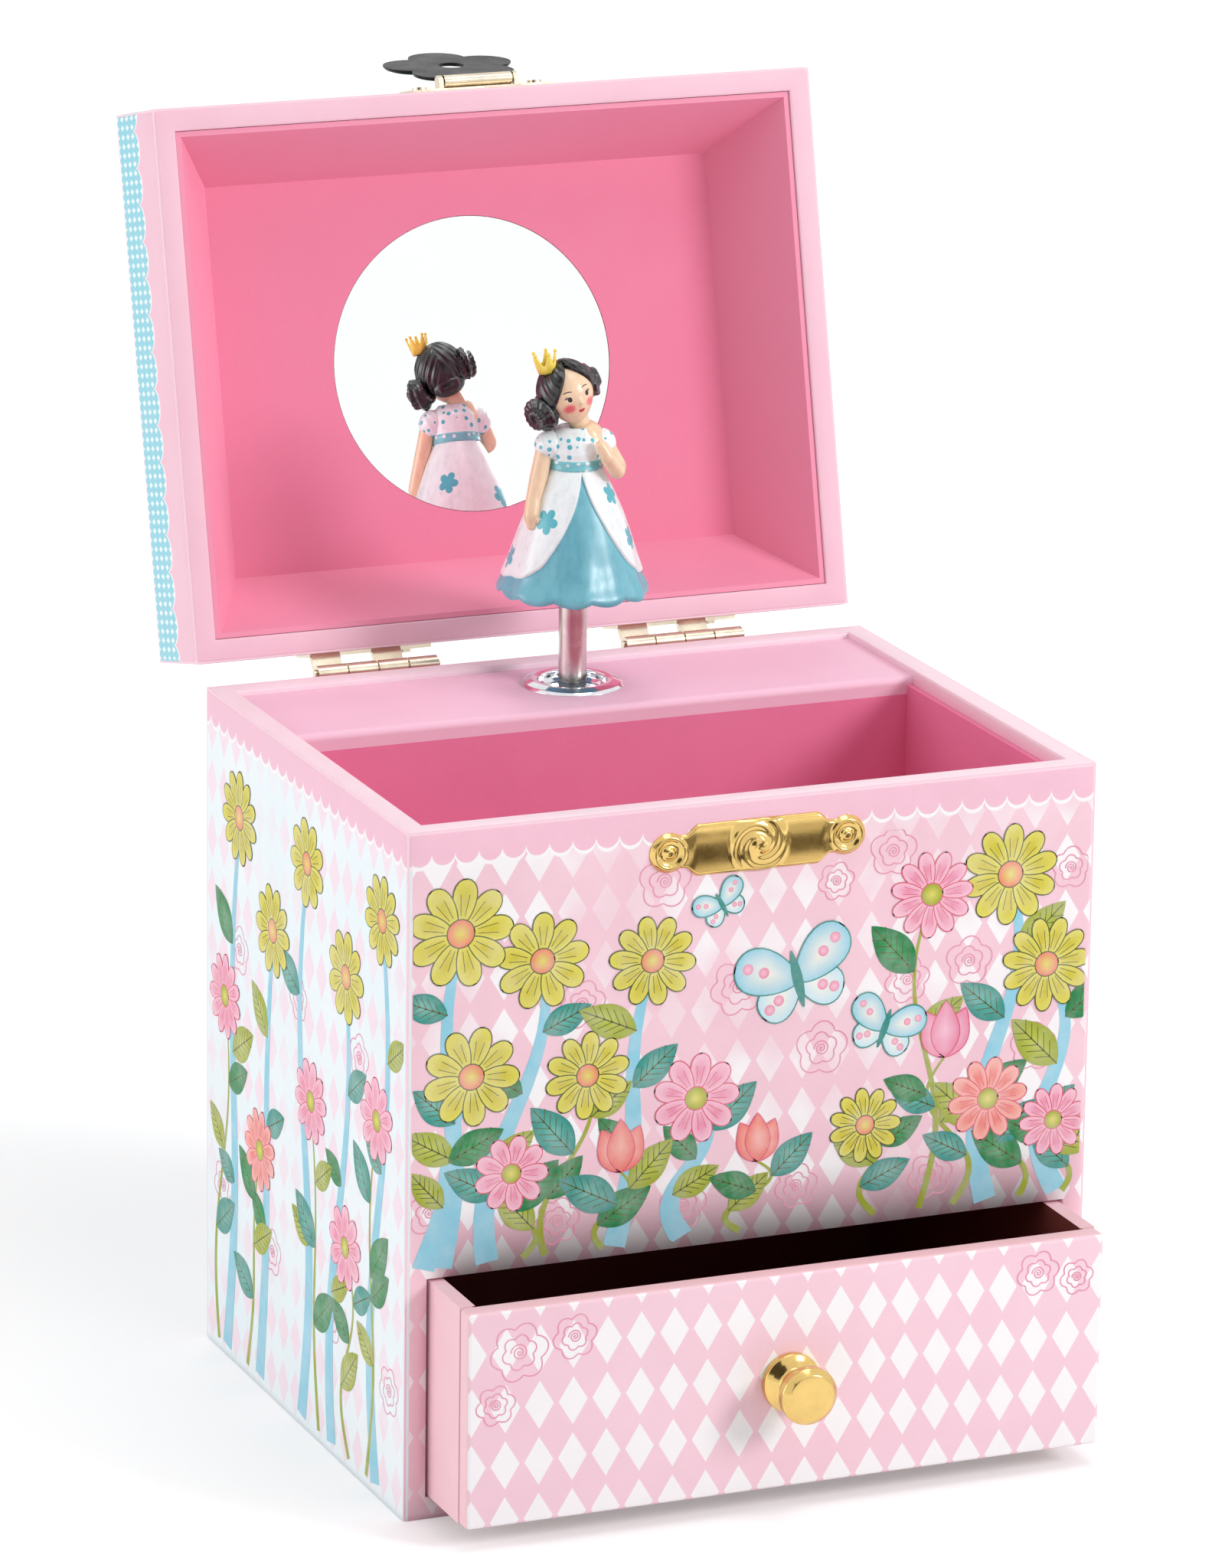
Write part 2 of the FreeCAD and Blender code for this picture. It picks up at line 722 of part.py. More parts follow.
def make_hasp():
    """The hasp is made shut, its leaf hanging over the strike's boss, then folded back on the open lid."""
    plate_face = front - hasp_plate_thickness
    low = hasp_z - hasp_plate_height / 2
    plate = slab("hasp_plate_flat", (-hasp_plate_length / 2, hasp_plate_length / 2), (plate_face, front),
                 (low, low + hasp_plate_height))
    pieces = [plate]
    holes = []
    nails = []
    for side in (-1, 1):
        ear_x = side * hasp_ear_spread / 2 - hasp_ear / 2
        ear_end = (ear_x, hasp_y, hasp_z)
        pieces.append(rod(f"hasp_ear_{side + 1}", hasp_ear_radius, ear_end, hasp_ear, "x"))
        pieces.append(slab(f"hasp_ear_foot_{side + 1}", (ear_x, ear_x + hasp_ear), (hasp_y, front),
                           (hasp_z - hasp_ear_radius, hasp_z + hasp_ear_radius)))
        nail_x = side * hasp_nail_spacing / 2
        spot = (nail_x, front, hasp_z)
        holes.append(rod(f"hasp_hole_{side + 1}", nail_radius, spot, hasp_plate_thickness, "front"))
        length = hasp_plate_thickness + nail_depth
        start = (nail_x, plate_face, hasp_z)
        nail = (nail_radius, length, nail_head_radius, nail_head)
        nails.append(screw(f"hasp_nail_{side + 1}", *nail, start, "y"))
    span = hasp_ear_spread + hasp_ear
    pin_start = (-span / 2, hasp_y, hasp_z)
    holes.append(rod("hasp_pin_bore", hasp_pin_radius, pin_start, span, "x"))
    node(on_lid("hasp_plate", cut("hasp_plate_shut", joined("hasp_plate_solid", pieces), holes)))
    node(on_lid("hasp_nails", group("hasp_nails_shut", nails)))
    node(on_lid("hasp_pin", rod("hasp_pin_shut", hasp_pin_radius, pin_start, span, "x")))
    # Five round petals about a disc, hung from a sleeve on the pin between the ears.
    leaf_back = hasp_y + hasp_thickness / 2
    petals = [rod("hasp_disc", hasp_centre_radius, (0, leaf_back, strike_z), hasp_thickness, "front")]
    for petal in range(5):
        angle = math.radians(36 + 72 * petal)
        spot = (hasp_petal_reach * math.sin(angle), leaf_back, strike_z + hasp_petal_reach * math.cos(angle))
        petals.append(rod(f"hasp_petal_{petal}", hasp_petal_radius, spot, hasp_thickness, "front"))
    sleeve_length = hasp_ear_spread - hasp_ear - 2 * knuckle_gap
    tongue_top = hasp_z - hasp_sleeve_radius / 2
    petals.append(slab("hasp_tongue", (-sleeve_length / 4, sleeve_length / 4),
                       (leaf_back - hasp_thickness, leaf_back), (strike_z, tongue_top)))
    sleeve_start = (-sleeve_length / 2, hasp_y, hasp_z)
    petals.append(rod("hasp_sleeve", hasp_sleeve_radius, sleeve_start, sleeve_length, "x"))
    holes = [
        rod("hasp_catch", hasp_hole_radius, (0, leaf_back, strike_z), hasp_thickness, "front"),
        rod("hasp_sleeve_bore", hasp_pin_radius + running_play, sleeve_start, sleeve_length, "x"),
    ]
    leaf = cut("hasp_leaf_shut", joined("hasp_leaf_solid", petals), holes)
    node(on_lid("hasp_leaf", swung("hasp_leaf_folded", leaf, hasp_y, hasp_z, hasp_fold)))


def toothed_disc(teeth, module, width, phase):
    """A spur wheel about Z. Its teeth are narrow trapezoids, so that a pair has room at every angle."""
    pitch_radius = module * teeth / 2
    points = []
    for tooth in range(teeth):
        middle = 2 * math.pi * tooth / teeth + phase
        corners = ((-1.0, -0.55), (0.7, -0.22), (0.7, 0.22), (-1.0, 0.55))
        for depth, half in corners:
            radius = pitch_radius + depth * module
            angle = middle + half * module / radius
            points.append(Vector(radius * math.cos(angle), radius * math.sin(angle), 0))
    face = Part.Face(Part.makePolygon(points + points[:1]))
    return face.extrude(Vector(0, 0, width))


def crown_wheel(teeth, module, disc, hub):
    """A crown wheel about Z with its teeth hanging down from a disc whose underside is at zero."""
    pitch_radius = module * teeth / 2
    outer = pitch_radius + 1.1 * module
    inner = pitch_radius - 1.1 * module
    wheel = Part.makeCylinder(outer, disc)
    drop = 1.55 * module
    half_root = 0.42 * module
    half_tip = 0.24 * module
    corners = [
        Vector(inner, -half_root, 0),
        Vector(inner, half_root, 0),
        Vector(inner, half_tip, -drop),
        Vector(inner, -half_tip, -drop),
    ]
    profile = Part.Face(Part.makePolygon(corners + corners[:1]))
    tooth = profile.extrude(Vector(outer - inner - 0.1 * module, 0, 0))
    ring = []
    for index in range(teeth):
        copy = tooth.copy()
        copy.rotate(Vector(), Vector(0, 0, 1), 360 * index / teeth)
        ring.append(copy)
    return wheel.multiFuse(ring + [hub]).removeSplitter()


def facing(axis, x, y, z):
    """A placement that turns a piece made about Z to another axis and puts it in place."""
    return FreeCAD.Placement(Vector(float(x), float(y), float(z)), axis_turns[axis])


def make_barrel():
    """The toothed barrel round the arbor, with the coiled mainspring as a plain pack inside."""
    teeth = int(barrel_teeth)
    bore_radius = float(arbor_radius + running_play)
    wheel = toothed_disc(teeth, float(wheel_module), float(barrel_face), math.pi / teeth)
    length = float(drum_length)
    drum = Part.makeCylinder(float(drum_radius), length, Vector(0, 0, -length))
    inside = length - 2 * float(drum_wall)
    room = Part.makeCylinder(float(drum_radius - drum_wall), inside, Vector(0, 0, float(drum_wall) - length))
    bore = Part.makeCylinder(bore_radius, length + float(barrel_face), Vector(0, 0, -length))
    barrel_start = barrel_y - barrel_face / 2
    spot = facing("y", 0, barrel_start, barrel_level)
    node(shaped("barrel", wheel.fuse(drum).cut(room).cut(bore).removeSplitter(), spot))
    pack_start = (0, barrel_start - drum_length + drum_wall + spring_pack_gap, barrel_level)
    pack_length = drum_length - 2 * drum_wall - 2 * spring_pack_gap
    pack = rod("spring_pack", drum_radius - drum_wall - spring_pack_gap, pack_start, pack_length, "y")
    eye = rod("spring_eye", arbor_radius + 0.7, pack_start, pack_length, "y")
    node(cut("mainspring", pack, [eye]))


def make_winding():
    """The arbor runs from its head in front of the barrel, out through the back to the key."""
    drum_front = barrel_y - barrel_face / 2 - drum_length
    arbor_head = 1.2
    key_start = back + key_gap
    arbor_start = (0, drum_front - running_play, barrel_level)
    arbor_end = key_start + key_boss_length
    shaft = rod("arbor_shaft", arbor_radius, arbor_start, arbor_end - drum_front + running_play, "y")
    head_start = (0, drum_front - running_play - arbor_head, barrel_level)
    head = rod("arbor_head", arbor_radius + 1.1, head_start, arbor_head, "y")
    node(joined("winding_arbor", [shaft, head]))
    boss = rod("key_boss", key_boss_radius, (0, key_start, barrel_level), key_boss_length, "y")
    wing_y = key_start + key_boss_length + key_wing_radius - 0.8
    low = barrel_level - key_thickness / 2
    pieces = [boss]
    holes = [rod("key_socket", arbor_radius, (0, key_start, barrel_level), key_boss_length, "y")]
    for side in (-1, 1):
        spot = (side * key_wing_spread / 2, wing_y, low)
        pieces.append(rod(f"key_wing_{side + 1}", key_wing_radius, spot, key_thickness))
        holes.append(rod(f"key_wing_hole_{side + 1}", key_hole_radius, spot, key_thickness))
    bridge = key_boss_radius - 0.4
    across = (-key_wing_spread / 2, key_wing_spread / 2)
    along = (wing_y - bridge, wing_y + bridge)
    pieces.append(slab("key_bridge", across, along, (low, low + key_thickness)))
    pieces.append(slab("key_neck", (-bridge, bridge), (key_start + key_boss_length / 2, wing_y),
                       (low, low + key_thickness)))
    node(cut("winding_key", joined("key_solid", pieces), holes))


def make_cylinder():
    """The pinned cylinder about X: crown wheel, arbor, drum with its pins and the train's first wheel."""
    crown_start = float(barrel_pitch + wheel_module)
    drum_start = float(cylinder_start)
    drum_end = float(cylinder_end)
    gear_start = drum_end + 0.6
    arbor_end = gear_start + float(train_face) + 3.0
    arbor = Part.makeCylinder(float(pivot_radius), arbor_end - crown_start, Vector(0, 0, crown_start))
    crown_hub = Part.makeCylinder(float(pivot_radius), float(crown_disc))
    crown = crown_wheel(int(crown_teeth), float(wheel_module), float(crown_disc), crown_hub)
    crown.translate(Vector(0, 0, crown_start))
    drum = Part.makeCylinder(float(cylinder_radius), drum_end - drum_start, Vector(0, 0, drum_start))
    gear = toothed_disc(int(train_teeth), float(train_module), float(train_face), 0)
    gear.translate(Vector(0, 0, gear_start))
    rows = int(comb_teeth)
    spacing = (drum_end - drum_start) / rows
    pins = []
    for row in range(rows):
        for beat in range(3):
            pin = Part.makeCylinder(float(pin_radius), float(pin_height) + 0.3,
                                    Vector(float(cylinder_radius) - 0.3, 0, 0), Vector(1, 0, 0))
            pin.rotate(Vector(), Vector(0, 0, 1), 47 * row + 120 * beat + 9 * (row * beat % 5))
            pin.translate(Vector(0, 0, drum_start + spacing * (row + 0.5)))
            pins.append(pin)
    solid = arbor.multiFuse([crown, drum, gear] + pins)
    node(shaped("cylinder", solid, facing("x", 0, stem_y, barrel_level)))


def make_comb():
    """The steel comb stands on the bedplate's step, its tines up under the cylinder."""
    rows = int(comb_teeth)
    pitch = float(cylinder_length) / rows
    left = float(cylinder_start)
    root = float(comb_tip - comb_tine)
    points = [Vector(left, 0, float(comb_foot))]
    for row in range(rows):
        start = left + pitch * (row + 0.15)
        end = left + pitch * (row + 0.85)
        points.append(Vector(start, 0, root))
        points.append(Vector(start, 0, float(comb_tip)))
        points.append(Vector(end, 0, float(comb_tip)))
        points.append(Vector(end, 0, root))
    points.append(Vector(float(cylinder_end), 0, float(comb_foot)))
    plate = Part.Face(Part.makePolygon(points + points[:1])).extrude(Vector(0, float(comb_thickness), 0))
    seat = FreeCAD.Placement(Vector(0, float(comb_front), 0), FreeCAD.Rotation())
    blank = shaped("comb_blank", plate, seat)
    holes = []
    screws = []
    for index, x in enumerate(comb_screw_spots):
        start = (x, comb_front, comb_screw_level)
        holes.append(rod(f"comb_hole_{index}", movement_screw_radius, start, comb_thickness, "y"))
        length = comb_thickness + comb_screw_depth
        screws.append(screw(f"comb_screw_{index}", movement_screw_radius, length, movement_screw_head_radius,
                            movement_screw_head, start, "y"))
    node(cut("comb", blank, holes))
    node(group("comb_screws", screws))


comb_screw_level = comb_foot + comb_base / 2
comb_screw_spots = (cylinder_start + cylinder_length / 4, cylinder_start + 3 * cylinder_length / 4)
spindle_arm_level = barrel_level + barrel_pitch + 4.5


def make_bedplate():
    """The plate on the back wall, with the comb's step, the cylinder's bearings and the spindle's arm."""
    left = -1 * drum_radius - bed_side
    right = cylinder_end + bed_end
    deep = (bedplate_front, inner_back)
    tall = (comb_foot - bed_edge, spindle_arm_level + spindle_arm_thickness)
    plate = slab("bed_sheet", (left, right), deep, tall)
    step = slab("bed_step", (cylinder_start, cylinder_end), (comb_front + comb_thickness, bedplate_front),
                (comb_foot, comb_tip - comb_tine - bed_edge))
    pieces = [plate, step]
    lug_spans = (
        (cylinder_start - 2.4, cylinder_start - 0.7),
        (cylinder_end + train_face + 1.4, cylinder_end + train_face + 2.9),
    )
    for index, span in enumerate(lug_spans):
        pieces.append(slab(f"bed_lug_{index}", span, (stem_y - lug_depth, bedplate_front),
                           (barrel_level - lug_depth, barrel_level + 0.8 * lug_depth)))
    arm_up = (spindle_arm_level, spindle_arm_level + spindle_arm_thickness)
    arm_half = spindle_radius + 3.0
    pieces.append(slab("bed_arm", (-arm_half, arm_half), (stem_y - arm_half, bedplate_front), arm_up))
    bearing_length = cylinder_end + train_face + 6.0
    arbor_spot = (0, bedplate_front, barrel_level)
    spindle_spot = (0, stem_y, spindle_arm_level)
    tools = [
        rod("bed_cylinder_bore", pivot_radius + running_play, (0, stem_y, barrel_level), bearing_length, "x"),
        rod("bed_arbor_bore", arbor_radius + running_play, arbor_spot, bedplate_thickness, "y"),
        rod("bed_spindle_bore", spindle_radius + running_play, spindle_spot, spindle_arm_thickness),
    ]
    for index, x in enumerate(comb_screw_spots):
        start = (x, comb_front + comb_thickness, comb_screw_level)
        tools.append(rod(f"bed_comb_hole_{index}", movement_screw_radius, start, comb_screw_depth, "y"))
    screws = []
    for index, (x, z) in enumerate(movement_screw_spots):
        start = (x, bedplate_front, z)
        tools.append(rod(f"bed_screw_hole_{index}", movement_screw_radius, start, bedplate_thickness, "y"))
        length = board + bedplate_thickness
        head = (movement_screw_head_radius, movement_screw_head)
        spot = (x, back, z)
        screws.append(screw(f"movement_screw_{index}", movement_screw_radius, length, *head, spot, "front"))
    node(cut("bedplate", joined("bed_solid", pieces), tools))
    node(group("movement_screws", screws))


def make_governor():
    """The train's second arbor and the fly that slows it, in a bracket on the bedplate."""
    gear_start = float(cylinder_end) + 0.6
    face = float(train_face)
    wheel_start = gear_start + face + 3.4
    frame_left = float(cylinder_end) - 1.7
    frame_right = wheel_start + face + 1.0
    thick = float(frame_plate)
    pivot = 0.6
    play = float(running_play)
    module = float(train_module)
    small = int(pinion_teeth)
    large = int(train_teeth)
    gap_phase = math.pi / small
    arbor_start = frame_left + 0.2
    arbor_length = frame_right + thick - 0.2 - arbor_start
    distance = float(train_distance)
    arbor = Part.makeCylinder(pivot, arbor_length, Vector(0, 0, arbor_start))
    pinion = toothed_disc(small, module, face + 0.4, gap_phase)
    pinion.translate(Vector(0, 0, gear_start - 0.2))
    wheel = toothed_disc(large, module, face, 0)
    wheel.translate(Vector(0, 0, wheel_start))
    governor_level = barrel_level + train_distance
    node(shaped("governor_wheel", arbor.multiFuse([pinion, wheel]), facing("x", 0, stem_y, governor_level)))
    fly_level = governor_level + train_distance
    fly_pinion = toothed_disc(small, module, face + 0.4, gap_phase)
    fly_pinion.translate(Vector(0, 0, wheel_start - 0.2))
    vane_start = frame_left + thick + 0.8
    vane_length = wheel_start - 1.2 - vane_start
    reach = float(fly_radius)
    vane_corner = Vector(-reach, -float(fly_vane) / 2, vane_start)
    vane = Part.makeBox(2 * reach, float(fly_vane), vane_length, vane_corner)
    node(shaped("fly", arbor.multiFuse([fly_pinion, vane]), facing("x", 0, stem_y, fly_level)))
    # The bracket is two plates on a flange, bored for both arbors.
    low = barrel_level + cylinder_radius + pin_height + 0.5
    high = fly_level + fly_radius
    deep = (stem_y - 3.5, bedplate_front)
    pieces = []
    for name, start in (("frame_left", frame_left), ("frame_right", frame_right)):
        pieces.append(slab(name, (start, start + thick), deep, (low, high)))
    flange = (bedplate_front - thick, bedplate_front)
    pieces.append(slab("frame_flange", (frame_left, frame_right + thick), flange, (low, high)))
    bores = []
    span = frame_right + thick - frame_left
    for name, level in (("governor_bore", governor_level), ("fly_bore", fly_level)):
        bores.append(rod(name, pivot + play, (frame_left, stem_y, level), span, "x"))
    node(cut("governor_frame", joined("frame_solid", pieces), bores))


def make_spindle():
    """The upright spindle: crown wheel below, a collar on the arm and a flat head under the stem."""
    crown_level = float(barrel_level + barrel_pitch + wheel_module)
    head_level = float(platform_top_level + stem_foot - stem_gap)
    shaft = Part.makeCylinder(float(spindle_radius), head_level - crown_level)
    collar_start = float(spindle_arm_level + spindle_arm_thickness + running_play) - crown_level
    collar = Part.makeCylinder(float(spindle_radius) + 1.1, 1.5, Vector(0, 0, collar_start))
    head = Part.makeCylinder(float(stem_radius), 3.0, Vector(0, 0, head_level - crown_level - 3.0))
    hub = shaft.multiFuse([collar, head])
    wheel = crown_wheel(int(crown_teeth), float(wheel_module), float(crown_disc), hub)
    node(shaped("spindle", wheel, facing("z", 0, stem_y, crown_level)))


def on_stem(name, piece):
    """A figure piece made facing the front about the stem's foot, turned and set on the platform."""
    solid = group(name, [piece])
    turn = FreeCAD.Rotation(Vector(0, 0, -1), float(figure_turn_angle))
    solid.Placement = FreeCAD.Placement(Vector(), turn)
    bind(solid, "Placement.Rotation.Angle", figure_turn_angle)
    place(solid, (0, stem_y, platform_top_level))
    return solid


def limb(name, radius, start, end):
    """A round limb between two points, with rounded ends."""
    along = Vector(*(float(size) for size in end)) - Vector(*(float(size) for size in start))
    shaft = document.addObject("Part::Cylinder", f"{name}_shaft")
    shaft.Placement = FreeCAD.Placement(Vector(), FreeCAD.Rotation(Vector(0, 0, 1), along))
    bind(shaft, "Radius", radius)
    shaft.Height = along.Length
    place(shaft, start)
    return [shaft, ball(f"{name}_start", radius, start), ball(f"{name}_end", radius, end)]


def leaned(name, piece):
    """A head piece leaned to the figure's right about its chin."""
    solid = group(name, [piece])
    solid.Placement = FreeCAD.Placement(Vector(), FreeCAD.Rotation(Vector(0, -1, 0), float(head_lean_angle)))
    bind(solid, "Placement.Rotation.Angle", head_lean_angle)
    bind(solid, "Placement.Base.x", chin_level * sine(head_lean_angle))
    bind(solid, "Placement.Base.z", chin_level - chin_level * cosine(head_lean_angle))
    return solid


def make_stem():
    length = stem_top - stem_foot
    foot = (0, 0, stem_foot)
    tube = rod("stem_outside", stem_radius, foot, length)
    hollow = rod("stem_inside", stem_radius - stem_wall, foot, length)
    node(on_stem("stem_tube", cut("stem_cut", tube, [hollow])))
    spring_start = (0, 0, stem_foot + stem_gap)
    coil_radius = stem_radius - stem_wall - stem_gap
    node(on_stem("fold_spring", rod("spring_coil", coil_radius, spring_start, fold_spring_length)))


def make_figure():
    """A doll in a long gown: gown, bodice with puffed sleeves, arms, head, hair and crown."""
    points = [
        (stem_radius, hem_height + hem_hollow),
        (hem_radius - hem_edge, hem_height),
        (hem_radius, hem_height + hem_edge, 1.0 * hem_edge),
        (waist_radius, waist_height, gown_sweep),
        (0, waist_height),
        (0, stem_top),
        (stem_radius, stem_top),
    ]
    gown = turned("gown_body", points)
    node(on_stem("figurine_gown", gown))
    shoulder = waist_height + bodice_height / 2
    points = [
        (0, waist_height),
        (waist_radius, waist_height),
        (waist_radius - 0.3, shoulder),
        (neck_radius + 0.5, neckline, bodice_curve),
        (0, neckline),
    ]
    pieces = [turned("torso", points)]
    for side in (-1, 1):
        pieces.append(ball(f"sleeve_{side + 1}", sleeve_radius, (side * sleeve_spread / 2, 0, shoulder)))
    bodice = joined("bodice_solid", pieces)
    node(on_stem("figurine_bodice", bodice))
    outer = sleeve_spread / 2 + 1.0
    wrist = (-outer - 1.6, -1.6, shoulder - arm_length)
    elbow = (outer + 0.9, -2.0, shoulder - 4.6)
    hand = (outer - 3.4, -waist_radius - 0.2, shoulder + 0.4)
    pieces = limb("right_arm", arm_radius, (-outer, -0.4, shoulder - 1.0), wrist)
    pieces += limb("left_upper_arm", arm_radius, (outer, -0.6, shoulder), elbow)
    pieces += limb("left_forearm", arm_radius, elbow, hand)
    node(on_stem("figurine_arms", cut("arms_cut", joined("arms_solid", pieces), [bodice, gown])))
    skull = leaned("skull_leaned", ball("skull", head_radius, (0, 0, skull_level)))
    neck = rod("neck", neck_radius, (0, 0, shoulder), chin_level + 2.0 - shoulder)
    head = cut("head_solid", joined("head_mass", [skull, neck]), [bodice])
    node(on_stem("figurine_head", head))
    # The hair is a cap round the head, open at the face, with a rolled curl at each side.
    cap = ball("hair_cap", head_radius + hair_thickness, (0, 0.6, skull_level + 0.3))
    face_room = ball("face_room", head_radius - 0.4, (0, -head_radius + 0.2, skull_level - 1.2))
    neck_room = slab("neck_room", (-hem_radius, hem_radius), (-hem_radius, hem_radius),
                     (waist_height, skull_level - head_radius + 1.0))
    pieces = [cut("hair_trimmed", cap, [face_room, neck_room])]
    for side, name in ((-1, "right_curl"), (1, "left_curl")):
        spot = (side * (head_radius + 0.6), 0.8, skull_level - 0.8 + 0.4 * side)
        pieces.append(ball(name, curl_radius, spot))
    hair = cut("hair_solid", leaned("hair_leaned", joined("hair_mass", pieces)), [head])
    node(on_stem("figurine_hair", hair))
    crown_foot = skull_level + head_radius - 0.3
    cones = []
    for name, thick in (("crown_outside", 0 * crown_wall), ("crown_inside", crown_wall)):
        cone = document.addObject("Part::Cone", name)
        bind(cone, "Radius1", crown_radius - thick)
        bind(cone, "Radius2", crown_radius + crown_flare - thick)
        bind(cone, "Height", crown_height)
        place(cone, (-crown_aside, 0, crown_foot))
        cones.append(cone)
    notches = []
    for index in range(int(crown_points)):
        turn = FreeCAD.Rotation(Vector(0, 0, 1), 360 * (index + 0.5) / float(crown_points) - 90)
        notch = document.addObject("Part::Box", f"crown_notch_{index}")
        notch.Placement = FreeCAD.Placement(Vector(), turn * FreeCAD.Rotation(Vector(1, 0, 0), 45))
        bind(notch, "Length", crown_radius + 2 * crown_flare)
        bind(notch, "Width", crown_height)
        bind(notch, "Height", crown_height)
        place(notch, (-crown_aside, 0, crown_foot + crown_height * 0.45))
        notches.append(notch)
    ring = leaned("crown_leaned", cut("crown_ring", cones[0], [cones[1]] + notches))
    node(on_stem("figurine_crown", cut("crown_cut", ring, [hair, head])))


def check_document():
    """Stop on anything that failed, before a file is written."""
    failed = [item.Name for item in document.Objects if {"Invalid", "Error"} & set(item.State)]
    failed += [piece.Label for piece in nodes if piece.Shape.isNull() or not piece.Shape.isValid()]
    if failed:
        raise RuntimeError("failed pieces: " + ", ".join(failed))


make_case()
make_lining()
make_platform()
make_drawer()
make_lid()
make_hinges()
make_strike()
make_hasp()
make_barrel()
make_winding()
make_cylinder()
make_comb()
make_bedplate()
make_governor()
make_spindle()
make_stem()
make_figure()
document.recompute()
check_document()
os.makedirs("parts", exist_ok=True)
for piece in nodes:
    piece.Shape.exportStep(f"parts/{piece.Label}.step")
print(len(nodes), "sub-parts written")
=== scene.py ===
import bpy
import bmesh
import math
import numpy as np
from mathutils import Matrix, Vector


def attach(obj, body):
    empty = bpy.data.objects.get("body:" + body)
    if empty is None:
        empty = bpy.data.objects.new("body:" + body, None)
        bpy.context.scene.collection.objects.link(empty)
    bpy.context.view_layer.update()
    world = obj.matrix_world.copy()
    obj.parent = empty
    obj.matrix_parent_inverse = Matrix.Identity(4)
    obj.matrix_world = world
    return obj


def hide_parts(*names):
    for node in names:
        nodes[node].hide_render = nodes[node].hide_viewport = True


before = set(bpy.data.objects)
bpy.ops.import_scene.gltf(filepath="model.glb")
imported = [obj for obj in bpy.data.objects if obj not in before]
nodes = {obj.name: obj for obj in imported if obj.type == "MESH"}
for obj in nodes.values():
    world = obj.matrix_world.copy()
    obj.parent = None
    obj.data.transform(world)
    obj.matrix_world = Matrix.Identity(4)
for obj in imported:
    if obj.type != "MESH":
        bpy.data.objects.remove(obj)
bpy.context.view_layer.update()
scene = bpy.context.scene
print("frame loaded with", len(nodes), "nodes")

# Small tools. Every length below is in millimetres until a mesh is made.


def rgb(r, g, b):  # a screen colour, 0 to 255, as linear light
    c = np.array([r, g, b]) / 255.0
    c = np.where(c <= 0.04045, c / 12.92, ((c + 0.055) / 1.055) ** 2.4)
    return (*c.tolist(), 1.0)


def ease(low, high, x):  # smooth step from 0 at low to 1 at high
    t = np.clip((np.asarray(x, float) - low) / (high - low), 0, 1)
    return t * t * (3 - 2 * t)


def smoothCurve(x, knots, values, width=9):  # straight runs between knots, then running means
    fine = np.linspace(knots[0], knots[-1], 400)
    line = np.interp(fine, knots, values)
    padded = np.pad(line, width, mode="reflect", reflect_type="odd")
    for _ in range(2):
        padded = np.convolve(padded, np.ones(width) / width, mode="same")
    return np.interp(x, fine, padded[width:-width])


def gridFaces(nu, nv, wrapU=False, wrapV=False):  # quads of a grid of points kept row by row
    i, j = np.meshgrid(np.arange(nu if wrapU else nu - 1), np.arange(nv if wrapV else nv - 1), indexing="ij")
    i2, j2 = (i + 1) % nu, (j + 1) % nv
    return np.stack([i * nv + j, i2 * nv + j, i2 * nv + j2, i * nv + j2], -1).reshape(-1, 4)


def joinGrids(*parts):  # several (points, faces) as one
    points, faces, start = [], [], 0
    for p, f in parts:
        points.append(np.asarray(p, float).reshape(-1, 3))
        faces.append(np.asarray(f) + start)
        start += len(points[-1])
    return np.vstack(points), np.vstack(faces)


def turnX(p, angle):  # right-hand turn about X
    c, s = math.cos(angle), math.sin(angle)
    return np.stack([p[..., 0], p[..., 1] * c - p[..., 2] * s, p[..., 1] * s + p[..., 2] * c], -1)


def turnY(p, angle):  # the same about Y
    c, s = math.cos(angle), math.sin(angle)
    return np.stack([p[..., 0] * c + p[..., 2] * s, p[..., 1], p[..., 2] * c - p[..., 0] * s], -1)


def turnZ(p, angle):  # and about Z
    c, s = math.cos(angle), math.sin(angle)
    return np.stack([p[..., 0] * c - p[..., 1] * s, p[..., 0] * s + p[..., 1] * c, p[..., 2]], -1)


def makePiece(name, points, faces, material, body, hides=(), slot=None, fields=None, closed=True, sharp=None):
    # a mesh from points and faces, with values kept on its points, riding on a body
    mesh = bpy.data.meshes.new(name)
    points = np.asarray(points, float).reshape(-1, 3)
    mesh.from_pydata((points * 0.001).tolist(), [], np.asarray(faces).tolist())
    for key, values in (fields or {}).items():
        values = np.asarray(values, np.float32)
        kind = {1: ("FLOAT", "value"), 3: ("FLOAT_VECTOR", "vector"), 4: ("FLOAT_COLOR", "color")}
        kind, word = kind[1 if values.size == len(points) else values.size // len(points)]
        mesh.attributes.new(key, kind, "POINT").data.foreach_set(word, values.ravel())
    bm = bmesh.new()
    bm.from_mesh(mesh)
    bmesh.ops.remove_doubles(bm, verts=bm.verts, dist=2e-7)
    bmesh.ops.dissolve_degenerate(bm, edges=bm.edges, dist=1e-7)
    if closed:
        bmesh.ops.recalc_face_normals(bm, faces=bm.faces)
    bm.to_mesh(mesh)
    bm.free()
    mesh.shade_smooth()
    if sharp:
        mesh.set_sharp_from_angle(angle=math.radians(sharp))
    obj = bpy.data.objects.new(name, mesh)
    scene.collection.objects.link(obj)
    mesh.materials.append(material)
    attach(obj, body)
    if hides:
        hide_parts(*hides)
    return obj


def lathe(profile, count=96):  # (r cos t, r sin t, z) for each (r, z) of the profile and each angle t
    r, z = np.asarray(profile, float).T
    t = np.linspace(0, 2 * math.pi, count, endpoint=False)
    points = np.stack([np.outer(np.cos(t), r), np.outer(np.sin(t), r), np.tile(z, (count, 1))], -1)
    return points.reshape(-1, 3), gridFaces(count, len(r), wrapU=True)


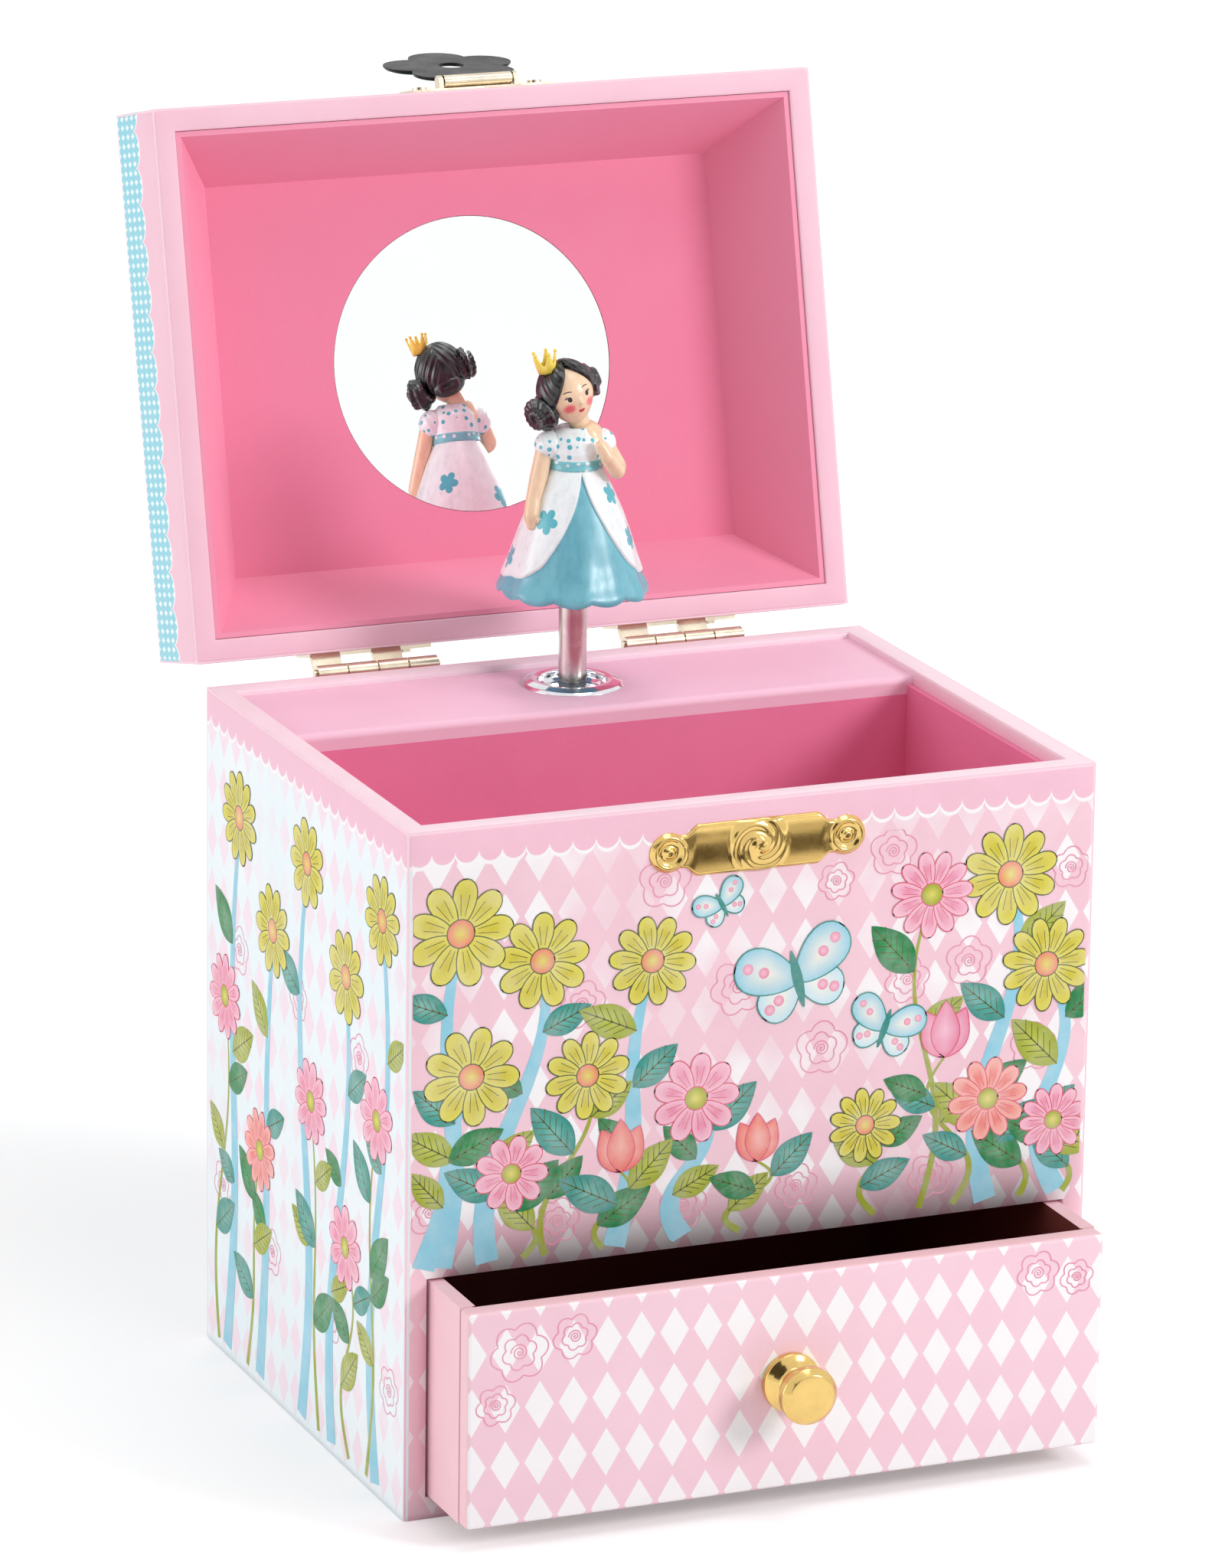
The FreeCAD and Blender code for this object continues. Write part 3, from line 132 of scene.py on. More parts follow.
def roundCorners(corners, radii, steps=7):  # an open (r, z) line with each inner corner as an arc
    corners = [np.array(c, float) for c in corners]
    line = [corners[0]]
    for before, corner, after, radius in zip(corners, corners[1:], corners[2:], radii):
        a, b = before - corner, after - corner
        a, b = a / np.linalg.norm(a), b / np.linalg.norm(b)
        half = math.acos(np.clip(a @ b, -1, 1)) / 2
        reach = radius / math.tan(half)
        middle = corner + (a + b) / np.linalg.norm(a + b) * radius / math.sin(half)
        first, last = corner + a * reach - middle, corner + b * reach - middle
        sweep = math.pi - 2 * half
        sign = np.sign(first[0] * last[1] - first[1] * last[0])
        for t in np.linspace(0, sweep * sign, steps):
            c, s = math.cos(t), math.sin(t)
            line.append(middle + [first[0] * c - first[1] * s, first[0] * s + first[1] * c])
    return np.array(line + [corners[-1]])


def tube(path, radii, count=20, flat=1.0):  # circles of given radii carried along a path, with closed ends
    path, radii = np.asarray(path, float), np.asarray(radii, float)
    along = np.gradient(path, axis=0)
    along /= np.linalg.norm(along, axis=1)[:, None]
    side = np.cross(along, [0.31, 0.9, 0.2])
    side /= np.linalg.norm(side, axis=1)[:, None]
    other = np.cross(along, side)
    t = np.linspace(0, 2 * math.pi, count, endpoint=False)
    ring = side[:, None] * np.cos(t)[None, :, None] + flat * other[:, None] * np.sin(t)[None, :, None]
    points = path[:, None] + radii[:, None, None] * ring
    return points.reshape(-1, 3), gridFaces(len(path), count, wrapV=True)


def limbPath(knots, radii, count=40):  # a soft line through the knots, with rounded ends
    knots, radii = np.asarray(knots, float), np.asarray(radii, float)
    t = np.linspace(0, len(knots) - 1, count)
    steps = np.arange(len(knots))
    line = np.stack([smoothCurve(t, steps, knots[:, k], 27) for k in range(3)], -1)
    radius = np.interp(t, steps, radii)
    cap = np.sqrt(np.clip(1 - (1 - np.arange(6) / 5) ** 2, 0.0, 1))
    first, last = line[0] - line[1], line[-1] - line[-2]
    start = line[0] + first / np.linalg.norm(first) * radius[0] * (1 - np.arange(6) / 5)[:, None]
    end = line[-1] + last / np.linalg.norm(last) * radius[-1] * (np.arange(6) / 5)[:, None]
    path = np.vstack([start, line[1:-1], end])
    return path, np.concatenate([radius[0] * cap, radius[1:-1], radius[-1] * cap[::-1]])


def slabGrid(low, high, radius, steps=4):
    # a box whose edges are rounded: each point q of the sharp box is pulled to c + radius * unit(q - c),
    # where c is q held inside the box shrunk by the radius
    low, high = np.array(low, float), np.array(high, float)
    near = np.linspace(0, radius, steps)
    lines = [np.concatenate([low[k] + near, high[k] - near[::-1]]) for k in range(3)]
    parts = []
    for axis in range(3):
        a, b = [k for k in range(3) if k != axis]
        for value in (low[axis], high[axis]):
            ga, gb = np.meshgrid(lines[a], lines[b], indexing="ij")
            q = np.empty(ga.shape + (3,))
            q[..., a], q[..., b], q[..., axis] = ga, gb, value
            parts.append((q.reshape(-1, 3), gridFaces(*ga.shape)))
    points, faces = joinGrids(*parts)
    c = np.clip(points, low + radius, high - radius)
    away = points - c
    length = np.linalg.norm(away, axis=1)[:, None]
    return c + radius * away / np.maximum(length, 1e-9), faces


# Node tools


def feed(tree, socket, value):
    if isinstance(value, bpy.types.NodeSocket):
        tree.links.new(value, socket)
    elif value is not None:
        socket.default_value = value


def add(tree, kind, wires=None, **settings):
    made = tree.nodes.new("ShaderNode" + kind)
    for key, value in settings.items():
        setattr(made, key, value)
    for key, value in (wires or {}).items():
        feed(tree, made.inputs[key], value)
    return made


def calc(tree, operation, a, b=None, c=None):
    made = tree.nodes.new("ShaderNodeMath")
    made.operation = operation
    for socket, value in zip(made.inputs, (a, b, c)):
        feed(tree, socket, value)
    return made.outputs[0]


def blendColours(tree, share, a, b, way="MIX"):
    made = add(tree, "Mix", {0: share, 6: a, 7: b}, data_type="RGBA", blend_type=way)
    return made.outputs[2]


def ramp(tree, value, low, high, start=0.0, end=1.0):
    wires = {"Value": value, "From Min": low, "From Max": high, "To Min": start, "To Max": end}
    return add(tree, "MapRange", wires, interpolation_type="SMOOTHSTEP").outputs[0]


def noise(tree, vector, scale, detail=2.0, rough=0.5):
    wires = {"Vector": vector, "Scale": scale, "Detail": detail, "Roughness": rough}
    return add(tree, "TexNoise", wires).outputs[0]


def newMaterial(name, shine=None, **sockets):
    material = bpy.data.materials.new(name)
    material.use_nodes = True
    tree = material.node_tree
    shader = tree.nodes["Principled BSDF"]
    for key, value in sockets.items():
        shader.inputs[key].default_value = value
    if shine is not None:
        shader.inputs["Specular IOR Level"].default_value = shine
    return material, tree, shader


def place(tree):
    return add(tree, "TexCoord").outputs["Object"]


def inMillimetres(tree):
    return add(tree, "Mapping", {"Vector": place(tree), "Scale": (1000, 1000, 1000)}).outputs[0]


def parted(tree, vector):
    return add(tree, "SeparateXYZ", {"Vector": vector}).outputs


def greyOf(tree, shade):
    return add(tree, "CombineColor", {0: shade, 1: shade, 2: shade}).outputs[0]


def addRelief(tree, shader, strength, rise, height):
    bump = add(tree, "Bump", {"Strength": strength, "Distance": rise, "Height": height})
    feed(tree, shader.inputs["Normal"], bump.outputs[0])


def field(tree, name, output="Vector"):
    return add(tree, "Attribute", attribute_name=name).outputs[output]


def newGroup(name, inputs, outputs):
    group = bpy.data.node_groups.new(name, "ShaderNodeTree")
    for label, kind in inputs:
        group.interface.new_socket(label, in_out="INPUT", socket_type="NodeSocket" + kind)
    for label, kind in outputs:
        group.interface.new_socket(label, in_out="OUTPUT", socket_type="NodeSocket" + kind)
    return group, group.nodes.new("NodeGroupInput").outputs, group.nodes.new("NodeGroupOutput").inputs


def useGroup(tree, group, **wires):
    made = tree.nodes.new("ShaderNodeGroup")
    made.node_tree = group
    for key, value in wires.items():
        feed(tree, made.inputs[key], value)
    return made.outputs


# Shared effects: paper with fibres and a faint printed mottle, fine metal scratches, a harlequin ground


def makePaperGrain():
    group, given, out = newGroup("paperGrain", [("Vector", "Vector"), ("Mottle", "Float"), ("Fibre", "Float")],
                                 [("Shade", "Color"), ("Height", "Float"), ("Roughness", "Float")])
    soft = noise(group, given["Vector"], 95.0, 3.0, 0.6)
    fine = noise(group, given["Vector"], 2600.0, 3.0, 0.65)
    stretched = add(group, "Mapping", {"Vector": given["Vector"], "Scale": (1.0, 0.35, 0.6)}).outputs[0]
    fibre = noise(group, stretched, 5200.0, 2.0, 0.5)
    mottle = calc(group, "MULTIPLY", calc(group, "SUBTRACT", soft, 0.5), given["Mottle"])
    grain = calc(group, "MULTIPLY", calc(group, "SUBTRACT", fine, 0.5), given["Fibre"])
    shade = calc(group, "ADD", calc(group, "ADD", mottle, grain), 1.0)
    group.links.new(greyOf(group, shade), out["Shade"])
    height = calc(group, "ADD", calc(group, "MULTIPLY", fine, 0.6), calc(group, "MULTIPLY", fibre, 0.4))
    group.links.new(height, out["Height"])
    group.links.new(ramp(group, soft, 0.3, 0.7, 0.42, 0.56), out["Roughness"])
    return group


def makeMetalWear():
    group, given, out = newGroup("metalWear", [("Vector", "Vector"), ("Low", "Float"), ("High", "Float")],
                                 [("Roughness", "Float"), ("Shade", "Color"), ("Height", "Float")])
    cloud = noise(group, given["Vector"], 260.0, 4.0, 0.6)
    fine = noise(group, given["Vector"], 2400.0, 2.0, 0.5)
    mixed = calc(group, "ADD", calc(group, "MULTIPLY", cloud, 0.7), calc(group, "MULTIPLY", fine, 0.3))
    wires = {"Value": mixed, "From Min": 0.3, "From Max": 0.7, "To Min": given["Low"], "To Max": given["High"]}
    group.links.new(add(group, "MapRange", wires).outputs[0], out["Roughness"])
    shade = ramp(group, cloud, 0.25, 0.75, 0.9, 1.04)
    group.links.new(greyOf(group, shade), out["Shade"])
    group.links.new(fine, out["Height"])
    return group


def makeHarlequin():
    # white where |frac(u / pitch) - 1/2| + |frac(v / pitch) - 1/2| is under half the share
    wanted = [(name, "Float") for name in ("U", "V", "PitchU", "PitchV", "Share")]
    group, given, out = newGroup("harlequin", wanted, [("Diamond", "Float")])
    steps = []
    for way in "UV":
        turn = calc(group, "FRACT", calc(group, "DIVIDE", given[way], given["Pitch" + way]))
        steps.append(calc(group, "ABSOLUTE", calc(group, "SUBTRACT", turn, 0.5)))
    reach = calc(group, "SUBTRACT", calc(group, "MULTIPLY", given["Share"], 0.5), calc(group, "ADD", *steps))
    group.links.new(ramp(group, reach, -0.012, 0.012), out["Diamond"])
    return group


paperGrain = makePaperGrain()
metalWear = makeMetalWear()
harlequin = makeHarlequin()


def finishPaper(tree, shader, colour, mottle=0.10, fibre=0.05, rise=0.00004):
    grain = useGroup(tree, paperGrain, Vector=place(tree), Mottle=mottle, Fibre=fibre)
    feed(tree, shader.inputs["Base Color"], blendColours(tree, 1.0, colour, grain["Shade"], "MULTIPLY"))
    feed(tree, shader.inputs["Roughness"], grain["Roughness"])
    addRelief(tree, shader, 0.5, rise, grain["Height"])


def paperMaterial(name, colour, mottle=0.10, fibre=0.05):
    material, tree, shader = newMaterial(name, shine=0.35)
    finishPaper(tree, shader, colour, mottle, fibre)
    return material


def metalMaterial(name, colour, low, high, rise=0.000004):
    material, tree, shader = newMaterial(name, Metallic=1.0)
    wear = useGroup(tree, metalWear, Vector=place(tree), Low=low, High=high)
    feed(tree, shader.inputs["Base Color"], blendColours(tree, 1.0, colour, wear["Shade"], "MULTIPLY"))
    feed(tree, shader.inputs["Roughness"], wear["Roughness"])
    addRelief(tree, shader, 0.3, rise, wear["Height"])
    return material


colours = {
    "rimPink": rgb(250, 214, 226), "bandPink": rgb(246, 196, 214), "white": rgb(252, 248, 250),
    # the slopes' pink is the lid's pink made paler: painted light and sheen on the lid's slopes
    "lidPink": rgb(239, 130, 163), "slopeLitPink": rgb(244, 152, 180), "wellPink": rgb(240, 134, 173),
    # the platform's pink is its own paler pink with painted sheen on it
    "platformPinkAndSheen": rgb(248, 200, 221), "drawerPink": rgb(246, 202, 210), "drawerDark": rgb(136, 66, 60),
    "lace": rgb(150, 214, 228),
}

lidPaper = paperMaterial("lidPaper", colours["lidPink"], 0.07, 0.05)
# the lid's slopes get the lid's paper made paler: painted light and sheen
slopeLitPaper = paperMaterial("slopeLitPaper", colours["slopeLitPink"], 0.07, 0.05)
wellPaper = paperMaterial("wellPaper", colours["wellPink"], 0.08, 0.05)
# the platform's paper: its own paler pink, lightened further by painted sheen
platformPaperAndSheen = paperMaterial("platformPaperAndSheen", colours["platformPinkAndSheen"], 0.06, 0.05)
rawBoard = paperMaterial("rawBoard", rgb(150, 118, 92), 0.2, 0.2)
rimPaper = paperMaterial("rimPaper", colours["rimPink"], 0.06, 0.05)
brightBrass = metalMaterial("brightBrass", rgb(231, 197, 122), 0.09, 0.18)
satinBrass = metalMaterial("satinBrass", rgb(205, 165, 95), 0.25, 0.4)
paleNickel = metalMaterial("paleNickel", rgb(226, 212, 190), 0.16, 0.3)
brightChrome = metalMaterial("brightChrome", rgb(232, 232, 236), 0.05, 0.12)
plainSteel = metalMaterial("plainSteel", rgb(216, 214, 208), 0.2, 0.3, 0.000001)
# near-black metal for the hasp leaf: its darkness is painted shade
haspPaintedShade = metalMaterial("haspPaintedShade", rgb(58, 56, 56), 0.35, 0.55)


def makeMirrorGlass():
    material, tree, shader = newMaterial("mirrorGlass", Metallic=1.0)
    haze = noise(tree, place(tree), 60.0, 3.0)
    feed(tree, shader.inputs["Roughness"], ramp(tree, haze, 0.4, 0.8, 0.0, 0.03))
    tint = blendColours(tree, haze, rgb(255, 255, 255), rgb(252, 254, 255))
    feed(tree, shader.inputs["Base Color"], tint)
    # the foil lies a little askew on its card, which shifts what it reflects
    facing = add(tree, "NewGeometry").outputs["Normal"]
    askew = add(tree, "VectorMath", {0: facing, 1: (-0.138, 0.0, -0.045)}, operation="ADD").outputs[0]
    feed(tree, shader.inputs["Normal"], add(tree, "VectorMath", {0: askew}, operation="NORMALIZE").outputs[0])
    return material


mirrorGlass = makeMirrorGlass()


def paint(material, *names):
    for name in names:
        data = nodes[name].data
        data.materials.clear()
        data.materials.append(material)


def makeDrawerPaper():
    # pink outside, dark inside: the side of the board tells which, by the node's own place
    material, tree, shader = newMaterial("drawerPaper")
    at = parted(tree, place(tree))
    outside = calc(tree, "GREATER_THAN", calc(tree, "ABSOLUTE", at["X"]), 0.0536)
    top = calc(tree, "GREATER_THAN", at["Z"], 0.04035)
    pink = calc(tree, "MAXIMUM", outside, top)
    colour = blendColours(tree, pink, colours["drawerDark"], colours["drawerPink"])
    finishPaper(tree, shader, colour)
    return material


drawerPaper = makeDrawerPaper()
paint(lidPaper, "lid_panel")
# painted light and sheen: the slopes take a paler copy of the lid's pink
paint(slopeLitPaper, "lid_slopes")
paint(mirrorGlass, "mirror")
paint(wellPaper, "liner_front", "liner_sides", "liner_floor", "platform_front")
# the platform top: its own paler pink with painted sheen
paint(platformPaperAndSheen, "platform_top")
paint(rimPaper, "base_board", "left_wall", "right_wall", "back_wall", "front_panel", "lid_top", "lid_front",
      "lid_back", "lid_left", "lid_right")
paint(rawBoard, "drawer_deck")
paint(drawerPaper, "drawer_sides", "drawer_back", "drawer_floor", "drawer_front")
paint(paleNickel, "hinge_leaves_box", "hinge_leaves_lid", "hinge_pins", "hinge_screws_box", "hinge_screws_lid",
      "hasp_plate", "hasp_nails", "hasp_pin", "movement_screws", "winding_key", "knob_screw")
# the hasp leaf is near-black metal: painted shade
paint(haspPaintedShade, "hasp_leaf")
paint(plainSteel, "stem_tube", "fold_spring", "winding_arbor", "mainspring", "comb", "comb_screws",
      "governor_wheel", "fly", "spindle")
paint(satinBrass, "bedplate", "barrel", "cylinder", "governor_frame")
print("materials for the carried-over nodes made")

# The printed wrap round the case: a rounded rectangle in plan, carried up a profile of (inset, height) points

case = {"halfX": 60.0, "halfY": 46.5, "rim": 115.3, "board": 3.7, "proud": 0.12, "corner": 0.9, "doorX": 56.35,
        "doorLow": 3.7, "doorHigh": 40.9}
lid = {"rim": 115.5, "top": 134.3, "open": math.radians(103.4), "hingeY": 50.0, "hingeZ": 114.75}


def toOpen(p):  # a point of the shut lid, turned about the hinge line to the open stop
    pivot = np.array([0, lid["hingeY"], lid["hingeZ"]])
    return turnX(p - pivot, -lid["open"]) + pivot


def wrapGrid(profile, marks, size=case):
    # for each side of the plan and each (inset n, height z): the side's line moved in by n, its corner radius
    # less n; also gives where each point lies on the print, as (along, up, side)
    hx, hy, rc = size["halfX"] + size["proud"], size["halfY"] + size["proud"], size["corner"]
    n, z = np.asarray(profile, float).T
    rr = np.maximum(rc - n, 0.0)
    up = np.where(n > 0.01, size["rim"] + n, z)
    columns, ats = [], []
    for side, along, out in ((0, hx, hy), (1, hy, hx), (2, hx, hy), (3, hy, hx)):
        turn = math.pi / 2 * side
        stops = set(np.linspace(-(along - rc), along - rc, 25).tolist() + [m for s, m in marks if s == side])
        for t in sorted(stops):
            x = t * (along - n - rr) / (along - rc)
            columns.append(turnZ(np.stack([x, -(out - n), z], -1), turn))
            ats.append(np.stack([np.full_like(z, t), up, np.full_like(z, side)], -1))
        for a in np.linspace(0, math.pi / 2, 7)[1:-1]:
            x, y = along - n - rr + rr * math.sin(a), -(out - n - rr) - rr * math.cos(a)
            columns.append(turnZ(np.stack([x, y, z], -1), turn))
            here = np.full_like(z, along - rc + rc * a)
            ats.append(np.stack([here, up, np.full_like(z, side + (a > 0.8))], -1))
    return np.array(columns), np.array(ats)


def thicken(obj):  # paper, thick towards the board
    sheet = obj.modifiers.new("sheet", "SOLIDIFY")
    sheet.thickness, sheet.offset = 0.0001, -1.0


def scallopDrop(tree, at, pitch, top, rise):
    # height over a row of arches: v - (top - rise * sqrt(1 - (2 frac(u / pitch) - 1)^2))
    turn = calc(tree, "FRACT", calc(tree, "DIVIDE", at["X"], pitch))
    bow = calc(tree, "SUBTRACT", calc(tree, "MULTIPLY", turn, 2.0), 1.0)
    arch = calc(tree, "SQRT", calc(tree, "SUBTRACT", 1.0, calc(tree, "MULTIPLY", bow, bow)))
    return calc(tree, "SUBTRACT", at["Y"], calc(tree, "SUBTRACT", top, calc(tree, "MULTIPLY", arch, rise)))


def makeCasePrint():
    # bands by height, a row of scallops under the rim band, and a faded harlequin ground
    material, tree, shader = newMaterial("casePrint", shine=0.4)
    at = parted(tree, field(tree, "printAt"))
    spot = place(tree)
    diamond = useGroup(tree, harlequin, U=at["X"], V=at["Y"], PitchU=5.8, PitchV=9.5, Share=0.86)["Diamond"]
    patch = noise(tree, spot, 34.0, 3.0, 0.55)
    seen = ramp(tree, patch, 0.36, 0.56, 0.25, 1.0)
    front = calc(tree, "LESS_THAN", calc(tree, "ABSOLUTE", at["Z"]), 0.5)
    warm = blendColours(tree, noise(tree, spot, 60.0, 4.0), rgb(250, 216, 226), rgb(243, 194, 209))
    cool = blendColours(tree, noise(tree, spot, 48.0, 4.0), rgb(248, 250, 252), rgb(230, 245, 250))
    ground = blendColours(tree, front, cool, warm)
    pale = blendColours(tree, front, rgb(249, 228, 238), colours["white"])
    colour = blendColours(tree, calc(tree, "MULTIPLY", diamond, seen), ground, pale)
    drop = scallopDrop(tree, at, 4.0, 111.6, 2.0)
    colour = blendColours(tree, ramp(tree, drop, -0.75, -0.55), colour, colours["white"])
    colour = blendColours(tree, ramp(tree, drop, -0.08, 0.08), colour, colours["bandPink"])
    colour = blendColours(tree, ramp(tree, at["Y"], 115.2, 115.6), colour, rgb(251, 226, 235))
    finishPaper(tree, shader, colour, 0.10, 0.04)
    return material


def makeLidPrint():
    # pink next to the rim, then a scalloped pale blue border, and a harlequin net over the top
    material, tree, shader = newMaterial("lidPrint", shine=0.4)
    at = parted(tree, field(tree, "printAt"))
    drop = scallopDrop(tree, at, 6.2, 126.2, 2.6)
    diamond = useGroup(tree, harlequin, U=at["X"], V=at["Y"], PitchU=1.55, PitchV=2.5, Share=0.7)["Diamond"]
    shut = parted(tree, field(tree, "shut"))
    net = useGroup(tree, harlequin, U=shut["X"], V=shut["Y"], PitchU=4.6, PitchV=7.5, Share=0.86)["Diamond"]
    lace = blendColours(tree, diamond, colours["lace"], rgb(240, 250, 252))
    cover = blendColours(tree, net, rgb(178, 224, 236), rgb(232, 246, 250))
    lace = blendColours(tree, ramp(tree, shut["Z"], 133.9, 134.3), lace, cover)
    pink = blendColours(tree, noise(tree, place(tree), 70.0, 3.0), rgb(248, 205, 219), rgb(243, 190, 208))
    colour = blendColours(tree, ramp(tree, drop, -0.5, -0.4), pink, colours["white"])
    colour = blendColours(tree, ramp(tree, drop, -0.06, 0.06), colour, lace)
    finishPaper(tree, shader, colour, 0.08, 0.04)
    return material


casePrint = makeCasePrint()
lidPrint = makeLidPrint()


def makeCaseWrap():
    # up the outside, round the rim and down into the well, without the drawer's opening
    rim, board = case["rim"] + 0.1, case["board"] + 2 * case["proud"]
    round6, round5 = (np.linspace(0, math.pi / 2, count) for count in (6, 5))
    levels = (0.0, 1.5, case["doorLow"], 12, 22, 32, case["doorHigh"], 52, 64, 76, 88, 100, 108)
    outer = [(0, z) for z in levels]
    bend = [(0.8 - 0.8 * math.cos(a), rim - 0.8 + 0.8 * math.sin(a)) for a in round6]
    turnIn = [(board - 0.5 + 0.5 * math.sin(a), rim - 0.5 + 0.5 * math.cos(a)) for a in round5]
    profile = np.array(outer + bend + turnIn + [(board, rim - 3.2)])
    points, at = wrapGrid(profile, [(0, -case["doorX"]), (0, case["doorX"])])
    grid = gridFaces(len(points), len(profile), wrapU=True).reshape(len(points), len(profile) - 1, 4)
    u, v, side = at[..., 0], at[..., 1], at[..., 2]
    nextU, nextSide = np.roll(u, -1, 0), np.roll(side, -1, 0)
    door = (u[:, :-1] >= -case["doorX"] - 0.01) & (nextU[:, :-1] <= case["doorX"] + 0.01)
    door &= (side[:, :-1] == 0) & (nextSide[:, :-1] == 0)
    door &= (v[:, :-1] >= case["doorLow"] - 0.01) & (v[:, 1:] <= case["doorHigh"] + 0.01)
    thicken(makePiece("caseWrap", points, grid[~door], casePrint, "case", slot="wrapped_board",
                      fields={"printAt": at}, closed=False, sharp=50))


def makeLidWrap():
    # from inside the rim, round it, up the outside and over the top to its middle
    board = case["board"] + 2 * case["proud"]
    low, high = lid["rim"] - 0.08, lid["top"] + 0.1
    round6, round5 = (np.linspace(0, math.pi / 2, count) for count in (6, 5))
    turnIn = [(board - 0.4 + 0.4 * math.cos(a), low + 0.4 - 0.4 * math.sin(a)) for a in round5]
    bend = [(0.7 - 0.7 * math.sin(a), low + 0.7 - 0.7 * math.cos(a)) for a in round6]
    outer = [(0, z) for z in (119, 122, 125, 128, 131)]
    shoulder = [(0.9 - 0.9 * math.cos(a), high - 0.9 + 0.9 * math.sin(a)) for a in round6]
    across = [(n, high) for n in np.linspace(4, case["halfY"] + case["proud"] - 0.001, 12)]
    profile = np.array([(board, low + 1.6)] + turnIn + bend + outer + shoulder + across)
    points, at = wrapGrid(profile, [])
    n, z = profile.T
    at[..., 1] = np.where((n > 0.9) & (z > 125), lid["top"] + n, np.where(n > 0.7, low - n, z))
    grid = gridFaces(len(points), len(profile), wrapU=True)
    thicken(makePiece("lidWrap", toOpen(points), grid, lidPrint, "lid", slot="wrapped_board",
                      fields={"printAt": at, "shut": points}, closed=False, sharp=50))


makeCaseWrap()
makeLidWrap()
print("printed wraps made")

# Drawer front with rounded, wrapped edges, and the brass knob

drawer = {"low": (-55.8, -63.3, 3.9), "high": (55.8, -59.6, 40.4), "edge": 0.7, "knobAt": (0.0, -63.3, 22.15)}


def makeDrawerPrint():
    material, tree, shader = newMaterial("drawerPrint", shine=0.4)
    at = parted(tree, inMillimetres(tree))
    diamond = useGroup(tree, harlequin, U=at["X"], V=at["Z"], PitchU=5.8, PitchV=9.5, Share=0.86)["Diamond"]
    pink = blendColours(tree, noise(tree, place(tree), 55.0, 4.0), rgb(250, 214, 226), rgb(246, 202, 216))
    colour = blendColours(tree, diamond, pink, colours["white"])
    face = calc(tree, "LESS_THAN", at["Y"], -63.05)
    inside = calc(tree, "GREATER_THAN", at["Y"], -59.75)
    edge = blendColours(tree, inside, colours["drawerPink"], colours["drawerDark"])
    colour = blendColours(tree, face, edge, colour)
    finishPaper(tree, shader, colour, 0.07, 0.04)
    return material


makePiece("drawerFace", *slabGrid(drawer["low"], drawer["high"], drawer["edge"]), makeDrawerPrint(), "drawer",
          hides=["drawer_front"], slot="drawer_face", sharp=40)

knob = {"flange": 4.95, "waist": 2.9, "face": 4.85, "length": 9.2}


def makeKnob():
    # a spool: domed flange, hollow waist, bevelled face with a shallow crown
    f, w, c, length = knob["flange"], knob["waist"], knob["face"], knob["length"]
    corners = [(0, 0), (f, 0), (f, 1.3), (f - 0.9, 1.9), (w, 2.8), (w, 4.6), (c - 0.7, 5.9), (c, 6.6),
               (c, length - 1.3), (c - 1.0, length - 0.25), (0, length)]
    line = roundCorners(corners, [0.25, 0.35, 0.3, 0.8, 0.9, 0.3, 0.5, 0.5, 0.4])
    points, grid = lathe(line, 128)
    points = turnX(points, math.pi / 2) + np.array(drawer["knobAt"])
    makePiece("knob", points, grid, brightBrass, "drawer", hides=["drawer_knob"], slot="polished_brass")


makeKnob()
print("drawer front and knob made")

# Painted motifs: thin plates and strokes of ink laid on the faces, a meadow of stems, daisies, tulips and moths

ink = {
    "sky": rgb(146, 208, 228), "skyPale": rgb(196, 230, 242), "teal": rgb(44, 140, 130),
    "tealPale": rgb(96, 184, 172),
    "yellow": rgb(206, 190, 44), "yellowPale": rgb(226, 216, 96), "olive": rgb(158, 168, 44),
    "olivePale": rgb(190, 198, 78), "green": rgb(18, 122, 66), "greenPale": rgb(64, 160, 98),
    "pink": rgb(236, 140, 172), "pinkPale": rgb(250, 196, 214), "coral": rgb(238, 122, 112),
    "coralPale": rgb(250, 184, 172), "cream": rgb(252, 244, 232), "line": rgb(86, 92, 34),
    "roseLine": rgb(224, 92, 120), "faint": rgb(232, 150, 176),
}
reach = {  # half width, lowest and highest ink on each face
    "front": (59.0, 42.0, 107.5), "left": (45.5, 0.8, 107.5), "right": (45.5, 0.8, 107.5),
    "back": (59.0, 0.8, 107.5), "drawer": (55.0, 4.8, 39.6), "lidTop": (58.0, -44.5, 44.5),
}
outX, outY = case["halfX"] + case["proud"], case["halfY"] + case["proud"]
faces = {  # where (u, v) of each face lies, h above it
    "front": lambda u, v, h: np.stack([u, -(outY + h), v], -1),
    "left": lambda u, v, h: np.stack([-(outX + h), -u, v], -1),
    "right": lambda u, v, h: np.stack([outX + h, u, v], -1),
    "back": lambda u, v, h: np.stack([-u, outY + h, v], -1),
    "drawer": lambda u, v, h: np.stack([u, drawer["low"][1] - h, v], -1),
    "lidTop": lambda u, v, h: toOpen(np.stack([u, v, lid["top"] + 0.1 + h], -1)),
}


